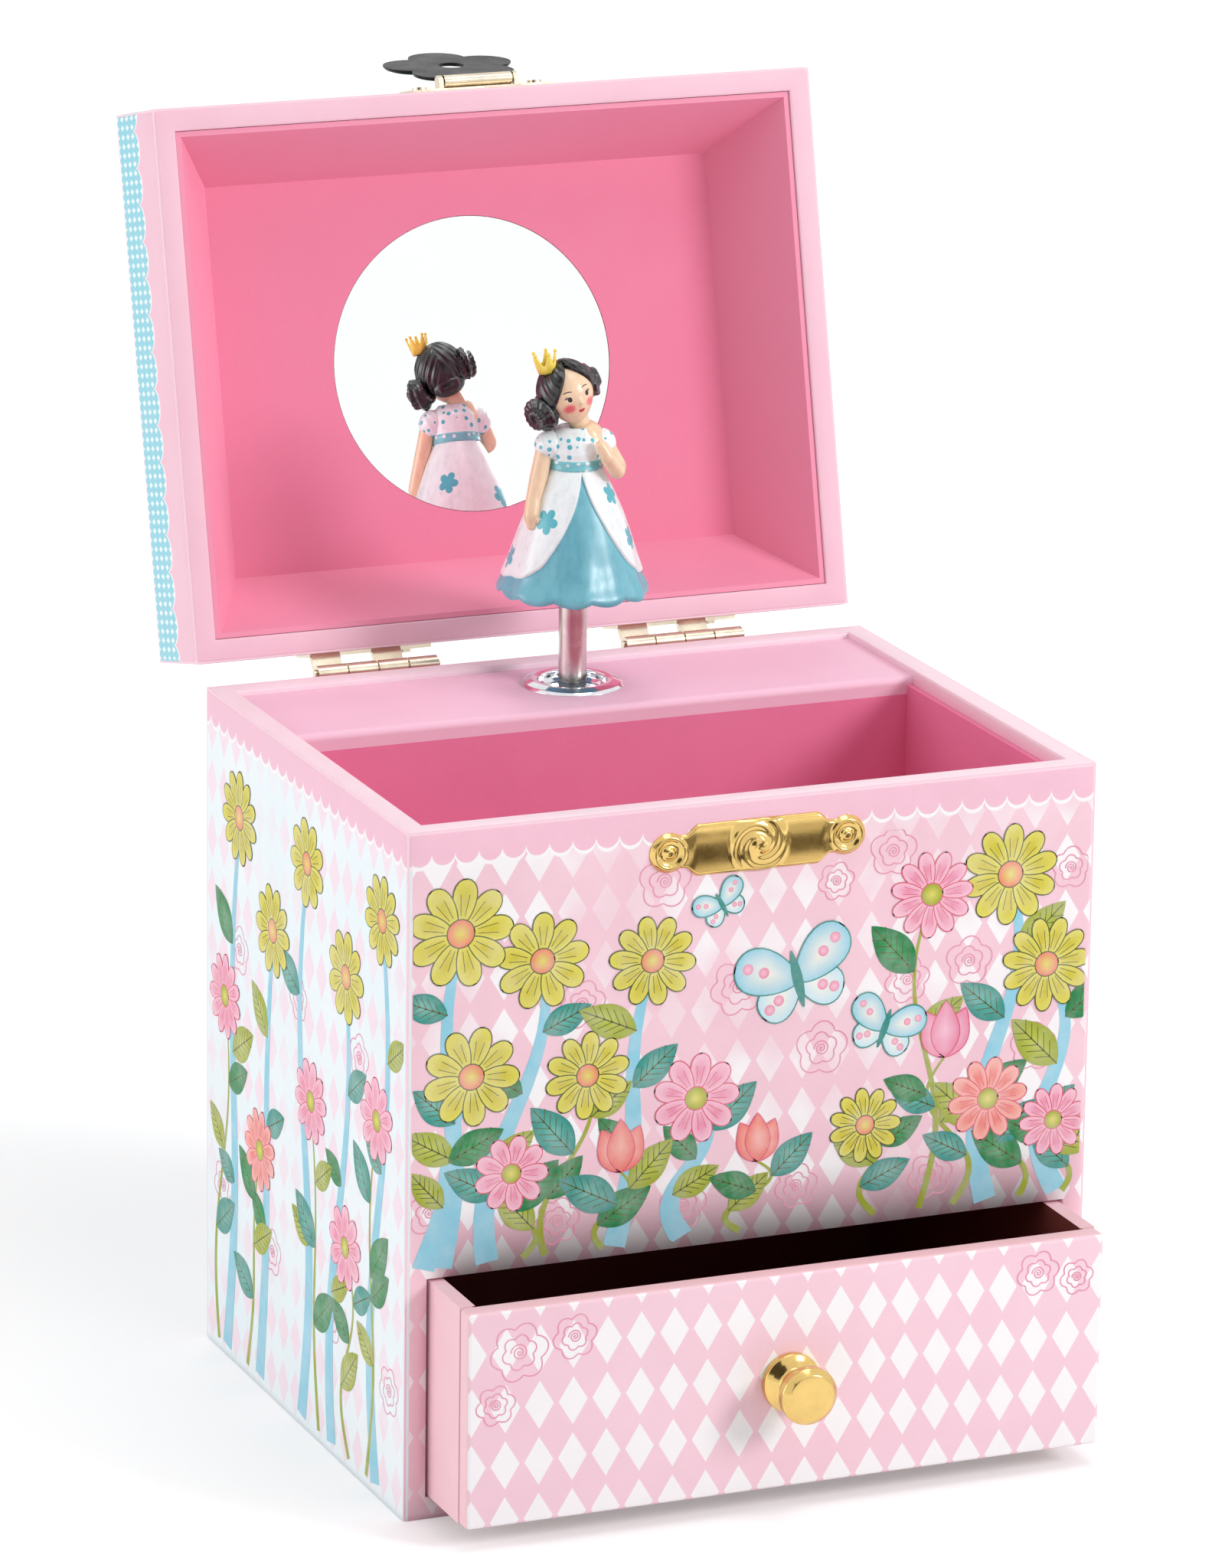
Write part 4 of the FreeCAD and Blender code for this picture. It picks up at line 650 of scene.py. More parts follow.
class InkSheet:
    # collects plates and strokes for one face, each a hair above the one before, then makes them one piece

    def __init__(self, face):
        self.face, self.parts, self.inks, self.lift = faces[face], [], [], 0.035
        half, low, high = reach[face]
        self.low, self.high = np.array([-half, low]), np.array([half, high])

    def lay(self, uv, sunk, grid, tones):
        uv = np.clip(uv, self.low, self.high)
        lifts = np.broadcast_to(self.lift - 0.03 * sunk, uv.shape[:-1])
        self.parts.append((self.face(uv[..., 0], uv[..., 1], lifts).reshape(-1, 3), grid))
        self.inks.append(np.broadcast_to(tones, uv.shape[:-1] + (4,)).reshape(-1, 4))

    def plate(self, edge, rim, heart):
        # rings of the edge line drawn in towards its centre, coloured from heart to rim, closed underneath
        centre = edge.mean(0)
        shares = np.array([0.0, 0.55, 1.0, 1.0, 0.0])[:, None]
        uv = centre + shares[..., None] * (edge - centre)
        tones = np.array(heart) + shares[..., None] * (np.array(rim) - np.array(heart))
        self.lay(uv, np.array([0, 0, 0, 1, 1])[:, None], gridFaces(5, len(edge), wrapV=True), tones)
        self.step()

    def step(self):
        self.lift += 0.0005

    def stroke(self, path, half, tone):
        # a flat bar of four corners carried along the path
        path = np.asarray(path, float)
        along = np.gradient(path, axis=0)
        along /= np.maximum(np.linalg.norm(along, axis=1), 1e-9)[:, None]
        side = np.stack([-along[:, 1], along[:, 0]], -1) * np.broadcast_to(half, len(path))[:, None]
        uv = np.stack([path + side, path - side, path - side, path + side], 1)
        ends = [[0, 1, 2, 3], [len(path) * 4 - k for k in (1, 2, 3, 4)]]
        grid = np.vstack([gridFaces(len(path), 4, wrapV=True), ends])
        self.lay(uv, np.array([0, 0, 1, 1]), grid, np.array(tone))

    def ring(self, edge, half, tone):  # a stroke that closes on itself
        self.stroke(np.vstack([edge, edge[:2]]), half, tone)

    def finish(self, name, material, body, slot):
        points, grid = joinGrids(*self.parts)
        tones = {"ink": np.vstack(self.inks)}
        return makePiece(name, points, grid, material, body, slot=slot, fields=tones, sharp=30)


def oval(centre, along, across, turn, count=22, egg=0.0):  # an oval, its far end widened by egg
    t = np.linspace(0, 2 * math.pi, count, endpoint=False)
    x, y = along * np.cos(t), across * np.sin(t) * (1 + egg * np.cos(t))
    c, s = math.cos(turn), math.sin(turn)
    return np.stack([centre[0] + x * c - y * s, centre[1] + x * s + y * c], -1)


def lens(root, length, width, turn, count=16):
    # a pointed leaf: half width = width * sin(pi t)^0.8 * (1.15 - 0.5 t)
    t = np.linspace(0, 1, count)
    half = width * np.sin(math.pi * t) ** 0.8 * (1.15 - 0.5 * t)
    x, y = np.concatenate([t, t[-2:0:-1]]) * length, np.concatenate([half, -half[-2:0:-1]])
    c, s = math.cos(turn), math.sin(turn)
    return np.stack([root[0] + x * c - y * s, root[1] + x * s + y * c], -1)


def drawLeaf(sheet, root, length, turn, tone, veins=5):  # a plate with a midrib and paired veins
    width = length * 0.29
    root, way = np.array(root), np.array([math.cos(turn), math.sin(turn)])
    sheet.plate(lens(root, length, width, turn), ink[tone], ink[tone + "Pale"])
    sheet.stroke(root + np.linspace(0, 0.94, 8)[:, None] * length * way, 0.11, ink["line"])
    for k in range(veins):
        foot = root + way * length * (0.16 + 0.66 * k / veins)
        for side in (-1, 1):
            lean = np.array([math.cos(turn + side * 0.75), math.sin(turn + side * 0.75)])
            span = width * (0.95 - 0.5 * abs(k / veins - 0.25))
            sheet.stroke(foot + np.linspace(0, span, 4)[:, None] * lean, 0.07, ink["line"])
    sheet.step()


def drawDaisy(sheet, centre, size, tone, petals=9, spin=0.0, edge="line"):  # petals round a heart
    centre = np.array(centre)
    for k in range(petals):
        turn = spin + 2 * math.pi * k / petals
        way = np.array([math.cos(turn), math.sin(turn)])
        petal = oval(centre + 0.6 * size * way, 0.43 * size, 2.05 * size / petals, turn, egg=0.3)
        sheet.plate(petal, ink[tone + "Pale"], ink[tone])
        sheet.ring(petal, 0.10, ink[edge])
        for off in (-0.12, 0.12):
            lean = np.array([math.cos(turn + off), math.sin(turn + off)])
            sheet.stroke(centre + np.outer(np.linspace(0.34, 0.74, 4) * size, lean), 0.06, ink[edge])
        sheet.step()
    heart = oval(centre, 0.27 * size, 0.27 * size, 0)
    sheet.plate(heart, ink["coral"] if tone == "yellow" else ink["olive"], ink["yellowPale"])
    sheet.ring(heart, 0.10, ink[edge])
    sheet.step()


def drawTulip(sheet, foot, size, lean, tone):  # two outer petals behind a middle one
    for turn, length in ((-0.42, 0.92), (0.42, 0.92), (0.0, 1.0)):
        petal = lens(foot, size * length * 1.5, size * 0.44, math.pi / 2 + lean + turn)
        sheet.plate(petal, ink[tone], ink[tone + "Pale"])
        sheet.ring(petal, 0.10, ink["roseLine"])
        sheet.step()


def drawGhost(sheet, centre, size, petals, tone="faint"):  # a blossom in outline only
    t = np.linspace(0, 2 * math.pi, 90)
    for ring in (1.0, 0.6):
        r = size * ring * (0.78 + 0.22 * np.abs(np.sin(petals * t / 2 + ring)))
        sheet.stroke(np.array(centre) + np.stack([r * np.cos(t), r * np.sin(t)], -1), 0.11, ink[tone])
    t = np.linspace(0, 5 * math.pi, 50)
    coil = np.stack([t * np.cos(t), t * np.sin(t)], -1) * size * 0.3 / t[-1]
    sheet.stroke(np.array(centre) + coil, 0.11, ink[tone])
    sheet.step()


def drawMoth(sheet, centre, size, turn):  # two pairs of spotted wings on a spindle body
    centre = np.array(centre)
    for side in (-1, 1):
        for swing, span, wide, tone in ((-0.5, 0.72, 0.42, "skyPale"), (0.55, 1.0, 0.5, "sky")):
            angle = turn + (math.pi / 2 - side * (math.pi / 2 - swing))
            way = span * size * np.array([math.cos(angle), math.sin(angle)])
            wing = oval(centre + 0.55 * way, 0.55 * span * size, wide * size * 0.72, angle, 26, 0.3)
            sheet.plate(wing, ink[tone], ink["cream"])
            sheet.ring(wing, 0.12, ink["teal"])
            sheet.step()
            for share in (0.6, 0.88):
                spot = oval(centre + share * way, 0.09 * size, 0.09 * size, 0, 12)
                sheet.plate(spot, ink["pink"], ink["pinkPale"])
    spine = np.array([-math.sin(turn), math.cos(turn)])
    body = 0.09 * size * np.sin(np.linspace(0.15, math.pi - 0.15, 9))
    sheet.stroke(centre + np.outer(np.linspace(-0.45, 0.5, 9) * size, spine), body, ink["teal"])


def drawStem(sheet, foot, top, bend, wide, tone):  # from foot to top with a soft S, thinning upwards
    t = np.linspace(0, 1, 26)
    u = foot[0] + (top[0] - foot[0]) * ease(0, 1, t) + bend * np.sin(2 * math.pi * t)
    path = np.stack([u, foot[1] + (top[1] - foot[1]) * t], -1)
    sheet.stroke(path, wide * (1 - 0.68 * t), ink[tone])
    sheet.step()
    return path


def drawMeadow(sheet, ground, blooms, seed):
    # each bloom: (foot u, top u, top v, size, kind, stem tone); leaves alternate up its stem
    spread = np.random.default_rng(seed)
    tall = sorted(blooms, key=lambda bloom: -bloom[2])
    paths = []
    for k, (foot, u, v, size, kind, tone) in enumerate(tall):
        bend = spread.uniform(1.4, 3.4) * (-1) ** k
        paths.append(drawStem(sheet, (foot, ground), (u, v), bend, 2.0 if tone == "sky" else 0.6, tone))
    for k, path in enumerate(paths):
        for j, share in enumerate((0.34, 0.56, 0.76)):
            side = 1 if (j + k) % 2 else -1
            turn = math.pi / 2 - side * spread.uniform(0.7, 1.2)
            tone = ("olive", "green", "teal")[(j + k) % 3]
            drawLeaf(sheet, path[int(share * 25)], spread.uniform(8.5, 12.0), turn, tone)
    level = sheet.lift
    for k, (foot, u, v, size, kind, tone) in enumerate(tall):
        sheet.lift = level + 0.013 * (k % 3)  # blooms far apart share a level
        if kind == "tulip":
            drawTulip(sheet, (u, v), size * 1.15, (u - foot) * 0.004, ("pink", "coral")[k % 2])
        else:
            edge = "line" if kind == "yellow" else "roseLine"
            drawDaisy(sheet, (u, v), size * 1.15, kind, 9 + k % 3, spread.uniform(0, 1), edge)
    sheet.lift = level + 0.04


def makeInkPaper():
    material, tree, shader = newMaterial("inkPaper", shine=0.4)
    wash = noise(tree, place(tree), 210.0, 4.0, 0.6)
    thin = ramp(tree, wash, 0.35, 0.7, 0.0, 0.16)
    tone = blendColours(tree, thin, field(tree, "ink", "Color"), colours["white"])
    finishPaper(tree, shader, tone, 0.18, 0.06)
    return material


meadows = {  # for each face: the ground's height, a seed and the blooms
    "front": (42.5, 11, [
        (-54, -51, 98, 7.6, "yellow", "sky"), (-46, -37, 92, 6.8, "yellow", "sky"),
        (-57, -49, 74, 7.0, "yellow", "sky"), (-36, -29, 72, 6.2, "yellow", "olive"),
        (-40, -42, 57, 5.4, "pink", "olive"), (-24, -18, 90, 6.4, "yellow", "sky"),
        (-26, -23, 55, 5.2, "tulip", "olive"), (-12, -10, 66, 6.4, "pink", "sky"),
        (-2, 1, 54, 4.8, "tulip", "olive"), (30, 31, 96, 6.2, "pink", "olive"),
        (42, 45, 98, 7.2, "yellow", "sky"), (55, 52, 82, 6.8, "yellow", "sky"),
        (36, 34, 68, 5.6, "tulip", "olive"), (48, 42, 60, 6.0, "coral", "olive"),
        (22, 20, 58, 5.4, "yellow", "olive"), (56, 54, 55, 5.2, "pink", "olive")]),
    "left": (2.0, 5, [
        (-36, -30, 97, 6.8, "yellow", "sky"), (-20, -14, 82, 6.6, "yellow", "sky"),
        (0, 2, 98, 6.4, "yellow", "sky"), (14, 20, 84, 6.6, "yellow", "sky"),
        (34, 36, 98, 6.4, "yellow", "sky"), (-40, -37, 64, 6.2, "pink", "olive"),
        (8, 4, 58, 6.0, "pink", "olive"), (30, 34, 64, 6.0, "pink", "olive"),
        (-26, -20, 42, 6.0, "coral", "olive"), (22, 20, 38, 6.0, "pink", "olive")]),
    "right": (2.0, 9, [
        (-34, -36, 92, 6.4, "yellow", "sky"), (-20, -16, 78, 6.2, "pink", "sky"),
        (-4, 0, 96, 6.6, "yellow", "sky"), (14, 18, 82, 6.2, "yellow", "sky"),
        (32, 34, 94, 6.4, "coral", "sky"), (-28, -28, 52, 5.6, "tulip", "olive"),
        (6, 8, 56, 5.6, "pink", "olive"), (28, 26, 54, 5.6, "tulip", "olive")]),
    "back": (2.0, 3, [
        (-48, -46, 84, 6.6, "yellow", "sky"), (-32, -30, 62, 6.0, "pink", "olive"),
        (-14, -18, 40, 5.6, "tulip", "olive"), (16, 18, 38, 5.6, "coral", "olive"),
        (34, 32, 64, 6.2, "yellow", "sky"), (50, 48, 86, 6.4, "pink", "sky")]),
}
ghosts = {  # for each face: place and size of the outlined blossoms
    "front": [
        (-16, 103, 4.6), (-3, 84, 4.8), (12, 72, 4.6), (-30, 84, 4.0), (24, 104, 4.2), (8, 49, 3.8),
        (-12, 48, 4.2), (27, 82, 4.0), (38, 84, 4.2), (-34, 48, 4.0), (50, 68, 4.2), (14, 100, 3.2),
        (-56, 52, 3.8), (32, 48, 4.0), (56, 98, 3.6)],
    "left": [
        (-30, 74, 4.2), (-2, 74, 4.0), (26, 72, 4.2), (-38, 30, 4.4), (14, 24, 4.4), (40, 20, 4.2),
        (-14, 26, 4.0)],
}


def makeMotifs():
    inkPaper = makeInkPaper()
    for face, (ground, seed, blooms) in meadows.items():
        sheet = InkSheet(face)
        for k, (u, v, size) in enumerate(ghosts.get(face, [])):
            drawGhost(sheet, (u, v), size, 5 + k % 2)
        drawMeadow(sheet, ground, blooms, seed)
        if face == "front":
            drawMoth(sheet, (7.5, 84), 10.5, 0.25)
            drawMoth(sheet, (23, 74), 7.0, -0.35)
            drawMoth(sheet, (-6, 98), 4.8, 0.5)
        sheet.finish(face + "Motifs", inkPaper, "case", "wrapped_board")
    sheet = InkSheet("drawer")
    for u, v, size in ((-47, 33, 5.0), (-37.5, 34.5, 3.8), (-51, 24.5, 3.4), (44, 35, 3.8), (51, 33.5, 3.0)):
        drawGhost(sheet, (u, v), size, 6)
    sheet.finish("drawerMotifs", inkPaper, "drawer", "drawer_face")
    sheet = InkSheet("lidTop")
    for k in range(10):
        turn = 2 * math.pi * k / 10
        at = np.array([27 * math.cos(turn), 22 * math.sin(turn)])
        drawLeaf(sheet, at, 10.0, turn + 1.1, ("olive", "green", "teal")[k % 3])
        size, tone, edge = ((5.2, "yellow", "line"), (6.4, "pink", "roseLine"))[k % 2]
        drawDaisy(sheet, at, size, tone, 9, 0.3 * k, edge)
    drawMoth(sheet, (0, 0), 12.0, 0.2)
    for u, v in ((-48, 34), (48, 34), (-48, -34), (48, -34)):
        drawGhost(sheet, (u, v), 5.5, 6)
    sheet.finish("lidTopMotifs", inkPaper, "lid", "wrapped_board")


makeMotifs()
print("painted motifs made")

# Strike plate: a stepped brass plate with cupped ends, a spiral rosette and two nails

strike = {"z": 107.7, "y": -46.62, "half": 18.8, "lobe": 3.3, "neck": 2.75, "shoulder": 11.4, "tall": 4.3,
          "thick": 0.45, "dome": 0.25, "rosette": 0.15, "boss": 0.6, "petal": 0.11, "ring": 0.35, "nail": 0.62}


def makeStrike():
    # edge height of the plate along x: lobes, necks and a taller middle with hollow shoulders
    s = strike
    bow = s["lobe"] * (1 - np.cos(np.linspace(0, math.pi / 2, 14)))
    x = np.concatenate([bow - s["half"], np.linspace(-15.3, 15.3, 121), s["half"] - bow[::-1]])
    lobe = np.sqrt(np.maximum(s["lobe"] ** 2 - (np.abs(x) - (s["half"] - s["lobe"])) ** 2, 0))
    middle = s["neck"] + (s["tall"] - s["neck"]) * ease(s["shoulder"] + 1.3, s["shoulder"] - 1.1, np.abs(x))
    middle *= ease(16.0, 14.0, np.abs(x))
    tall = np.maximum(lobe, middle)
    share = np.linspace(-1, 1, 61)
    gx, gz = np.repeat(x[:, None], len(share), 1), tall[:, None] * share
    toEdge = (1 - np.abs(share)) * np.maximum(tall, 0.05)[:, None]
    edge = np.minimum(toEdge, (s["half"] - np.abs(x))[:, None] + 0.02)
    # lift of the face: rounded edge, rosette with a boss and three spiral petals, gentle dome, ringed nails
    lift = s["thick"] * ease(-0.2, 0.5, edge)
    r, a = np.hypot(gx, gz), np.arctan2(gz, gx)
    lift += s["rosette"] * ease(5.6, 4.4, r) + s["boss"] * ease(2.2, 0.4, r)
    lift += s["petal"] * (1 + np.cos(3 * a - 3.4 * r)) * ease(5.2, 4.4, r) * ease(0.3, 1.0, r)
    lift += s["dome"] * (1 - (gz / s["tall"]) ** 2) * ease(13.6, 11.0, np.abs(gx))
    for side in (-1, 1):
        rn = np.hypot(gx - side * (s["half"] - s["lobe"]), gz)
        lift += s["ring"] * ease(0.6, 0.1, np.abs(rn - 2.5)) - 0.15 * ease(2.0, 1.4, rn)
        lift += s["nail"] * ease(1.25, 0.5, rn)
    top = np.stack([gx, s["y"] - lift, s["z"] + gz], -1)
    under = top.copy()
    under[..., 1] = s["y"] + 0.1
    parts = [(top, gridFaces(*gx.shape)), (under, gridFaces(*gx.shape)[:, ::-1])]
    for line in (np.s_[0, :], np.s_[-1, :], np.s_[:, 0], np.s_[:, -1]):
        parts.append((np.stack([top[line], under[line]], 1), gridFaces(len(top[line]), 2)))
    makePiece("strikePlate", *joinGrids(*parts), brightBrass, "case", hides=["strike_plate", "strike_nails"],
              slot="polished_brass")


makeStrike()

# Grommet: a rolled chrome ring round the stem, with a shallow dish inside

grommet = {"at": (0.0, 31.5, 114.3), "outer": 8.75, "hole": 5.8, "dish": 2.75}


def makeGrommet():
    o, h, d = grommet["outer"], grommet["hole"], grommet["dish"]
    corners = [(d, -1.2), (d, -0.9), (h - 0.6, -0.9), (h, -0.3), (h, 0.85), (h + 1.1, 1.0), (o - 0.5, 0.55),
               (o, 0.02), (o - 0.2, -0.05), (h + 0.6, -0.05), (h + 0.6, -1.2), (d, -1.2)]
    line = roundCorners(corners, [0.1, 0.4, 0.3, 0.35, 0.7, 0.4, 0.08, 0.05, 0.05, 0.05])
    points, grid = lathe(line, 128)
    makePiece("grommetRing", points + np.array(grommet["at"]), grid, brightChrome, "case", hides=["grommet"],
              slot="bright_chrome")


makeGrommet()

# Hasp leaf: five domed petals round a hole, hung from a sleeve

hasp = {"axisY": -48.2, "axisZ": 119.4, "drop": 11.7, "fold": math.radians(166.6), "petal": 5.0, "reach": 6.8,
        "disc": 6.0, "hole": 2.25, "sleeve": 1.1, "span": 12.3, "tongue": (4.2, 0.38, 0.2)}


def makeHaspLeaf():
    # edge radius of the flower: the farthest crossing of a ray with the disc or with any petal circle
    h = hasp
    t = np.linspace(0, 2 * math.pi, 240, endpoint=False)
    edge = np.full_like(t, h["disc"])
    for k in range(5):
        d = t - (math.pi / 2 + math.radians(36 + 72 * k))
        under = h["petal"] ** 2 - (h["reach"] * np.sin(d)) ** 2
        reach = h["reach"] * np.cos(d) + np.sqrt(np.maximum(under, 0))
        edge = np.maximum(edge, np.where((under > 0) & (np.cos(d) > 0), reach, 0))
    shares = np.array([0, 0.04, 0.1, 0.2, 0.35, 0.5, 0.65, 0.8, 0.9, 0.96, 1.0])
    lifts = np.array([-0.25, 0.25, 0.34, 0.38, 0.42, 0.46, 0.5, 0.48, 0.4, 0.22, -0.2])
    r = h["hole"] + shares[:, None] * (edge - h["hole"])[None]
    flat = np.stack([r * np.cos(t), r * np.sin(t)], -1)
    top = np.concatenate([flat, np.broadcast_to(lifts[:, None, None], r.shape + (1,))], -1)
    under = np.concatenate([flat[[-1, 0]], np.full((2, len(t), 1), -0.4)], -1)
    points = np.concatenate([top, under, top[:1]])
    leaf = gridFaces(len(points), len(t), wrapV=True)
    x, y, z = points.reshape(-1, 3).T
    middle = h["axisZ"] - h["drop"]
    placed = np.stack([x, h["axisY"] - z, middle + y], -1)
    pivot = np.array([0, h["axisY"], h["axisZ"]])
    path = pivot + np.outer(np.linspace(-h["span"] / 2, h["span"] / 2, 9), [1, 0, 0])
    sleeve = tube(path, np.full(9, h["sleeve"]), 28)
    caps = [np.vstack([path[k], sleeve[0].reshape(9, 28, 3)[k]]) for k in (0, -1)]
    fan = np.array([[0, 1 + j, 1 + (j + 1) % 28, 1 + (j + 1) % 28] for j in range(28)])
    wide, deep, edge = h["tongue"]
    low, high = (-wide, h["axisY"] - deep, middle + 6.0), (wide, h["axisY"] + deep, h["axisZ"] - 0.4)
    tongue = slabGrid(low, high, edge)

    def folded(points):  # swung back as the open hasp stands, on the open lid
        return toOpen(turnX(points - pivot, -h["fold"]) + pivot)

    # the leaf's near-black metal is painted shade
    makePiece("haspFlower", folded(placed), leaf, haspPaintedShade, "hasp", hides=["hasp_leaf"], slot="dark_hasp",
              sharp=40)
    points, grid = joinGrids(sleeve, (caps[0], fan), (caps[1], fan[:, ::-1]), tongue)
    makePiece("haspSleeve", folded(points), grid, paleNickel, "hasp", slot="plated_hinge", sharp=40)


makeHaspLeaf()
print("metal pieces made")

# The figure, made facing the front about the stem's foot, then turned a little and set on the platform

figure = {"at": (0.0, 31.5, 114.3), "turn": math.radians(-8.0)}
skinTone, cheekTone = rgb(244, 208, 172), rgb(236, 104, 112)
gownTeal, gownWhite = rgb(84, 186, 202), rgb(243, 250, 252)
hairBlack, hairGrey, crownYellow = rgb(14, 14, 17), rgb(104, 106, 112), rgb(250, 218, 70)


def onStem(p):  # from the figure's own frame to the box's
    return turnZ(np.asarray(p, float), figure["turn"]) + np.array(figure["at"])


def paintedPlastic(name, colourOf, rough=0.32, coat=0.25):
    # glossy brushed paint: soft strokes in the colour and in the gloss
    material, tree, shader = newMaterial(name)
    shader.inputs["Coat Weight"].default_value = coat
    shader.inputs["Coat Roughness"].default_value = 0.2
    drawn = add(tree, "Mapping", {"Vector": place(tree), "Scale": (1.0, 1.0, 0.3)}).outputs[0]
    strokes = noise(tree, drawn, 900.0, 3.0, 0.6)
    shade = ramp(tree, strokes, 0.25, 0.75, 0.93, 1.05)
    colour = blendColours(tree, 1.0, colourOf(tree), greyOf(tree, shade), "MULTIPLY")
    feed(tree, shader.inputs["Base Color"], colour)
    feed(tree, shader.inputs["Roughness"], ramp(tree, strokes, 0.3, 0.7, rough - 0.06, rough + 0.1))
    addRelief(tree, shader, 0.25, 0.00003, strokes)
    return material


gown = {"hem": 16.4, "waist": 38.3, "heights": [16.4, 17.2, 19.0, 22.5, 26.0, 30.0, 34.0, 37.0, 38.3],
        "radii": [12.35, 12.5, 11.6, 10.3, 9.2, 7.8, 6.0, 4.5, 4.2],
        "edgeAngles": [0, 12, 28, 45, 75, 180], "edgeHeights": [37.2, 32.4, 27.2, 22.0, 19.3, 18.6],
        "flowers": [  # towards, height, size, spin
            (-48, 29.7, 2.1, 0.3), (-96, 22.4, 2.0, 1.0), (51, 33.6, 1.8, 0.1), (62, 26.0, 2.0, 0.8),
            (140, 27.0, 2.1, 0.4), (-150, 30.0, 2.0, 1.2), (175, 22.0, 2.0, 0.2), (105, 22.6, 1.9, 0.9)]}


def makeGown():
    # radius by height, with a scalloped hem and soft folds that grow towards it; the overskirt stands 0.4 proud
    count, rows = 360, 110
    t = np.linspace(-math.pi, math.pi, count, endpoint=False)
    z = np.concatenate([np.linspace(gown["hem"], 19.5, 34), np.linspace(19.7, gown["waist"], rows - 34)])
    tt, zz = np.meshgrid(t, z, indexing="ij")
    radius = smoothCurve(zz, gown["heights"], gown["radii"], 15)
    low = ease(30.0, gown["hem"], zz)
    radius += low * (0.28 * np.cos(7 * tt + 0.6) + 0.14 * np.cos(13 * tt + 1.1))
    hem = ease(20.5, gown["hem"], zz)
    scallop = np.abs(np.sin(6 * tt))
    radius += hem * 0.35 * scallop
    away = np.degrees(np.abs(tt))
    edgeHeight = smoothCurve(away, gown["edgeAngles"], gown["edgeHeights"], 11)
    over = zz - (edgeHeight + 0.35 * np.cos(9 * tt) * ease(20, 60, away))
    radius += 0.45 * ease(-0.1, 0.35, over) * ease(38.6, 36.5, zz)
    drop = hem ** 2 * (0.4 - 0.7 * scallop)
    angle = tt - math.pi / 2
    points = np.stack([radius * np.cos(angle), radius * np.sin(angle), zz + drop], -1)
    bloom = np.full_like(zz, 9.0)
    for towards, height, size, spin in gown["flowers"]:
        du = (np.degrees(tt) - towards + 180) % 360 - 180
        u, v = np.radians(du) * radius, zz - height
        rho, theta = np.hypot(u, v), np.arctan2(v, u)
        bloom = np.minimum(bloom, rho - size * (0.46 + 0.54 * np.abs(np.cos(2.5 * theta + spin)) ** 0.6))
    inside = [points[:, 0]]
    for share, lift in ((0.93, 0.35), (0.8, 1.6), (0.5, 3.0), (2.42 / 12.4, 3.6)):
        ring = points[:, 0].copy()
        ring[:, :2] *= share
        ring[:, 2] = gown["hem"] + lift
        inside.append(ring)
    inside = np.array(inside)
    topCap = np.array([points[:, -1], np.broadcast_to([0, 0, gown["waist"]], (count, 3))])
    parts = [(points, gridFaces(count, rows, wrapU=True)), (inside, gridFaces(len(inside), count, wrapV=True)),
             (topCap, gridFaces(2, count, wrapV=True))]
    allPoints, grid = joinGrids(*parts)
    extra = len(allPoints) - points.shape[0] * rows
    fields = {"over": np.concatenate([over.ravel(), np.full(extra, -3.0)]),
              "bloom": np.concatenate([bloom.ravel(), np.full(extra, 9.0)])}

    def colourOf(tree):
        white = ramp(tree, field(tree, "over", "Fac"), -0.06, 0.06)
        flower = ramp(tree, field(tree, "bloom", "Fac"), 0.06, -0.06)
        blue = blendColours(tree, noise(tree, place(tree), 240.0, 3.0), rgb(92, 170, 190), rgb(128, 198, 212))
        cloth = blendColours(tree, flower, gownWhite, gownTeal)
        return blendColours(tree, white, blue, cloth)

    makePiece("dollGown", onStem(allPoints), grid, paintedPlastic("gownPaint", colourOf), "figure",
              hides=["figurine_gown"], slot="gown_plastic", fields=fields)


bodice = {"heights": [37.6, 38.6, 40.5, 42.5, 43.6, 44.6], "halfX": [4.5, 4.3, 4.7, 4.6, 4.1, 3.0],
          "halfY": [4.5, 4.2, 4.3, 3.9, 3.2, 2.5], "belt": (37.4, 39.3), "sleeve": (2.6, 2.5),
          "sleeveAt": (4.4, -0.1, 41.5)}


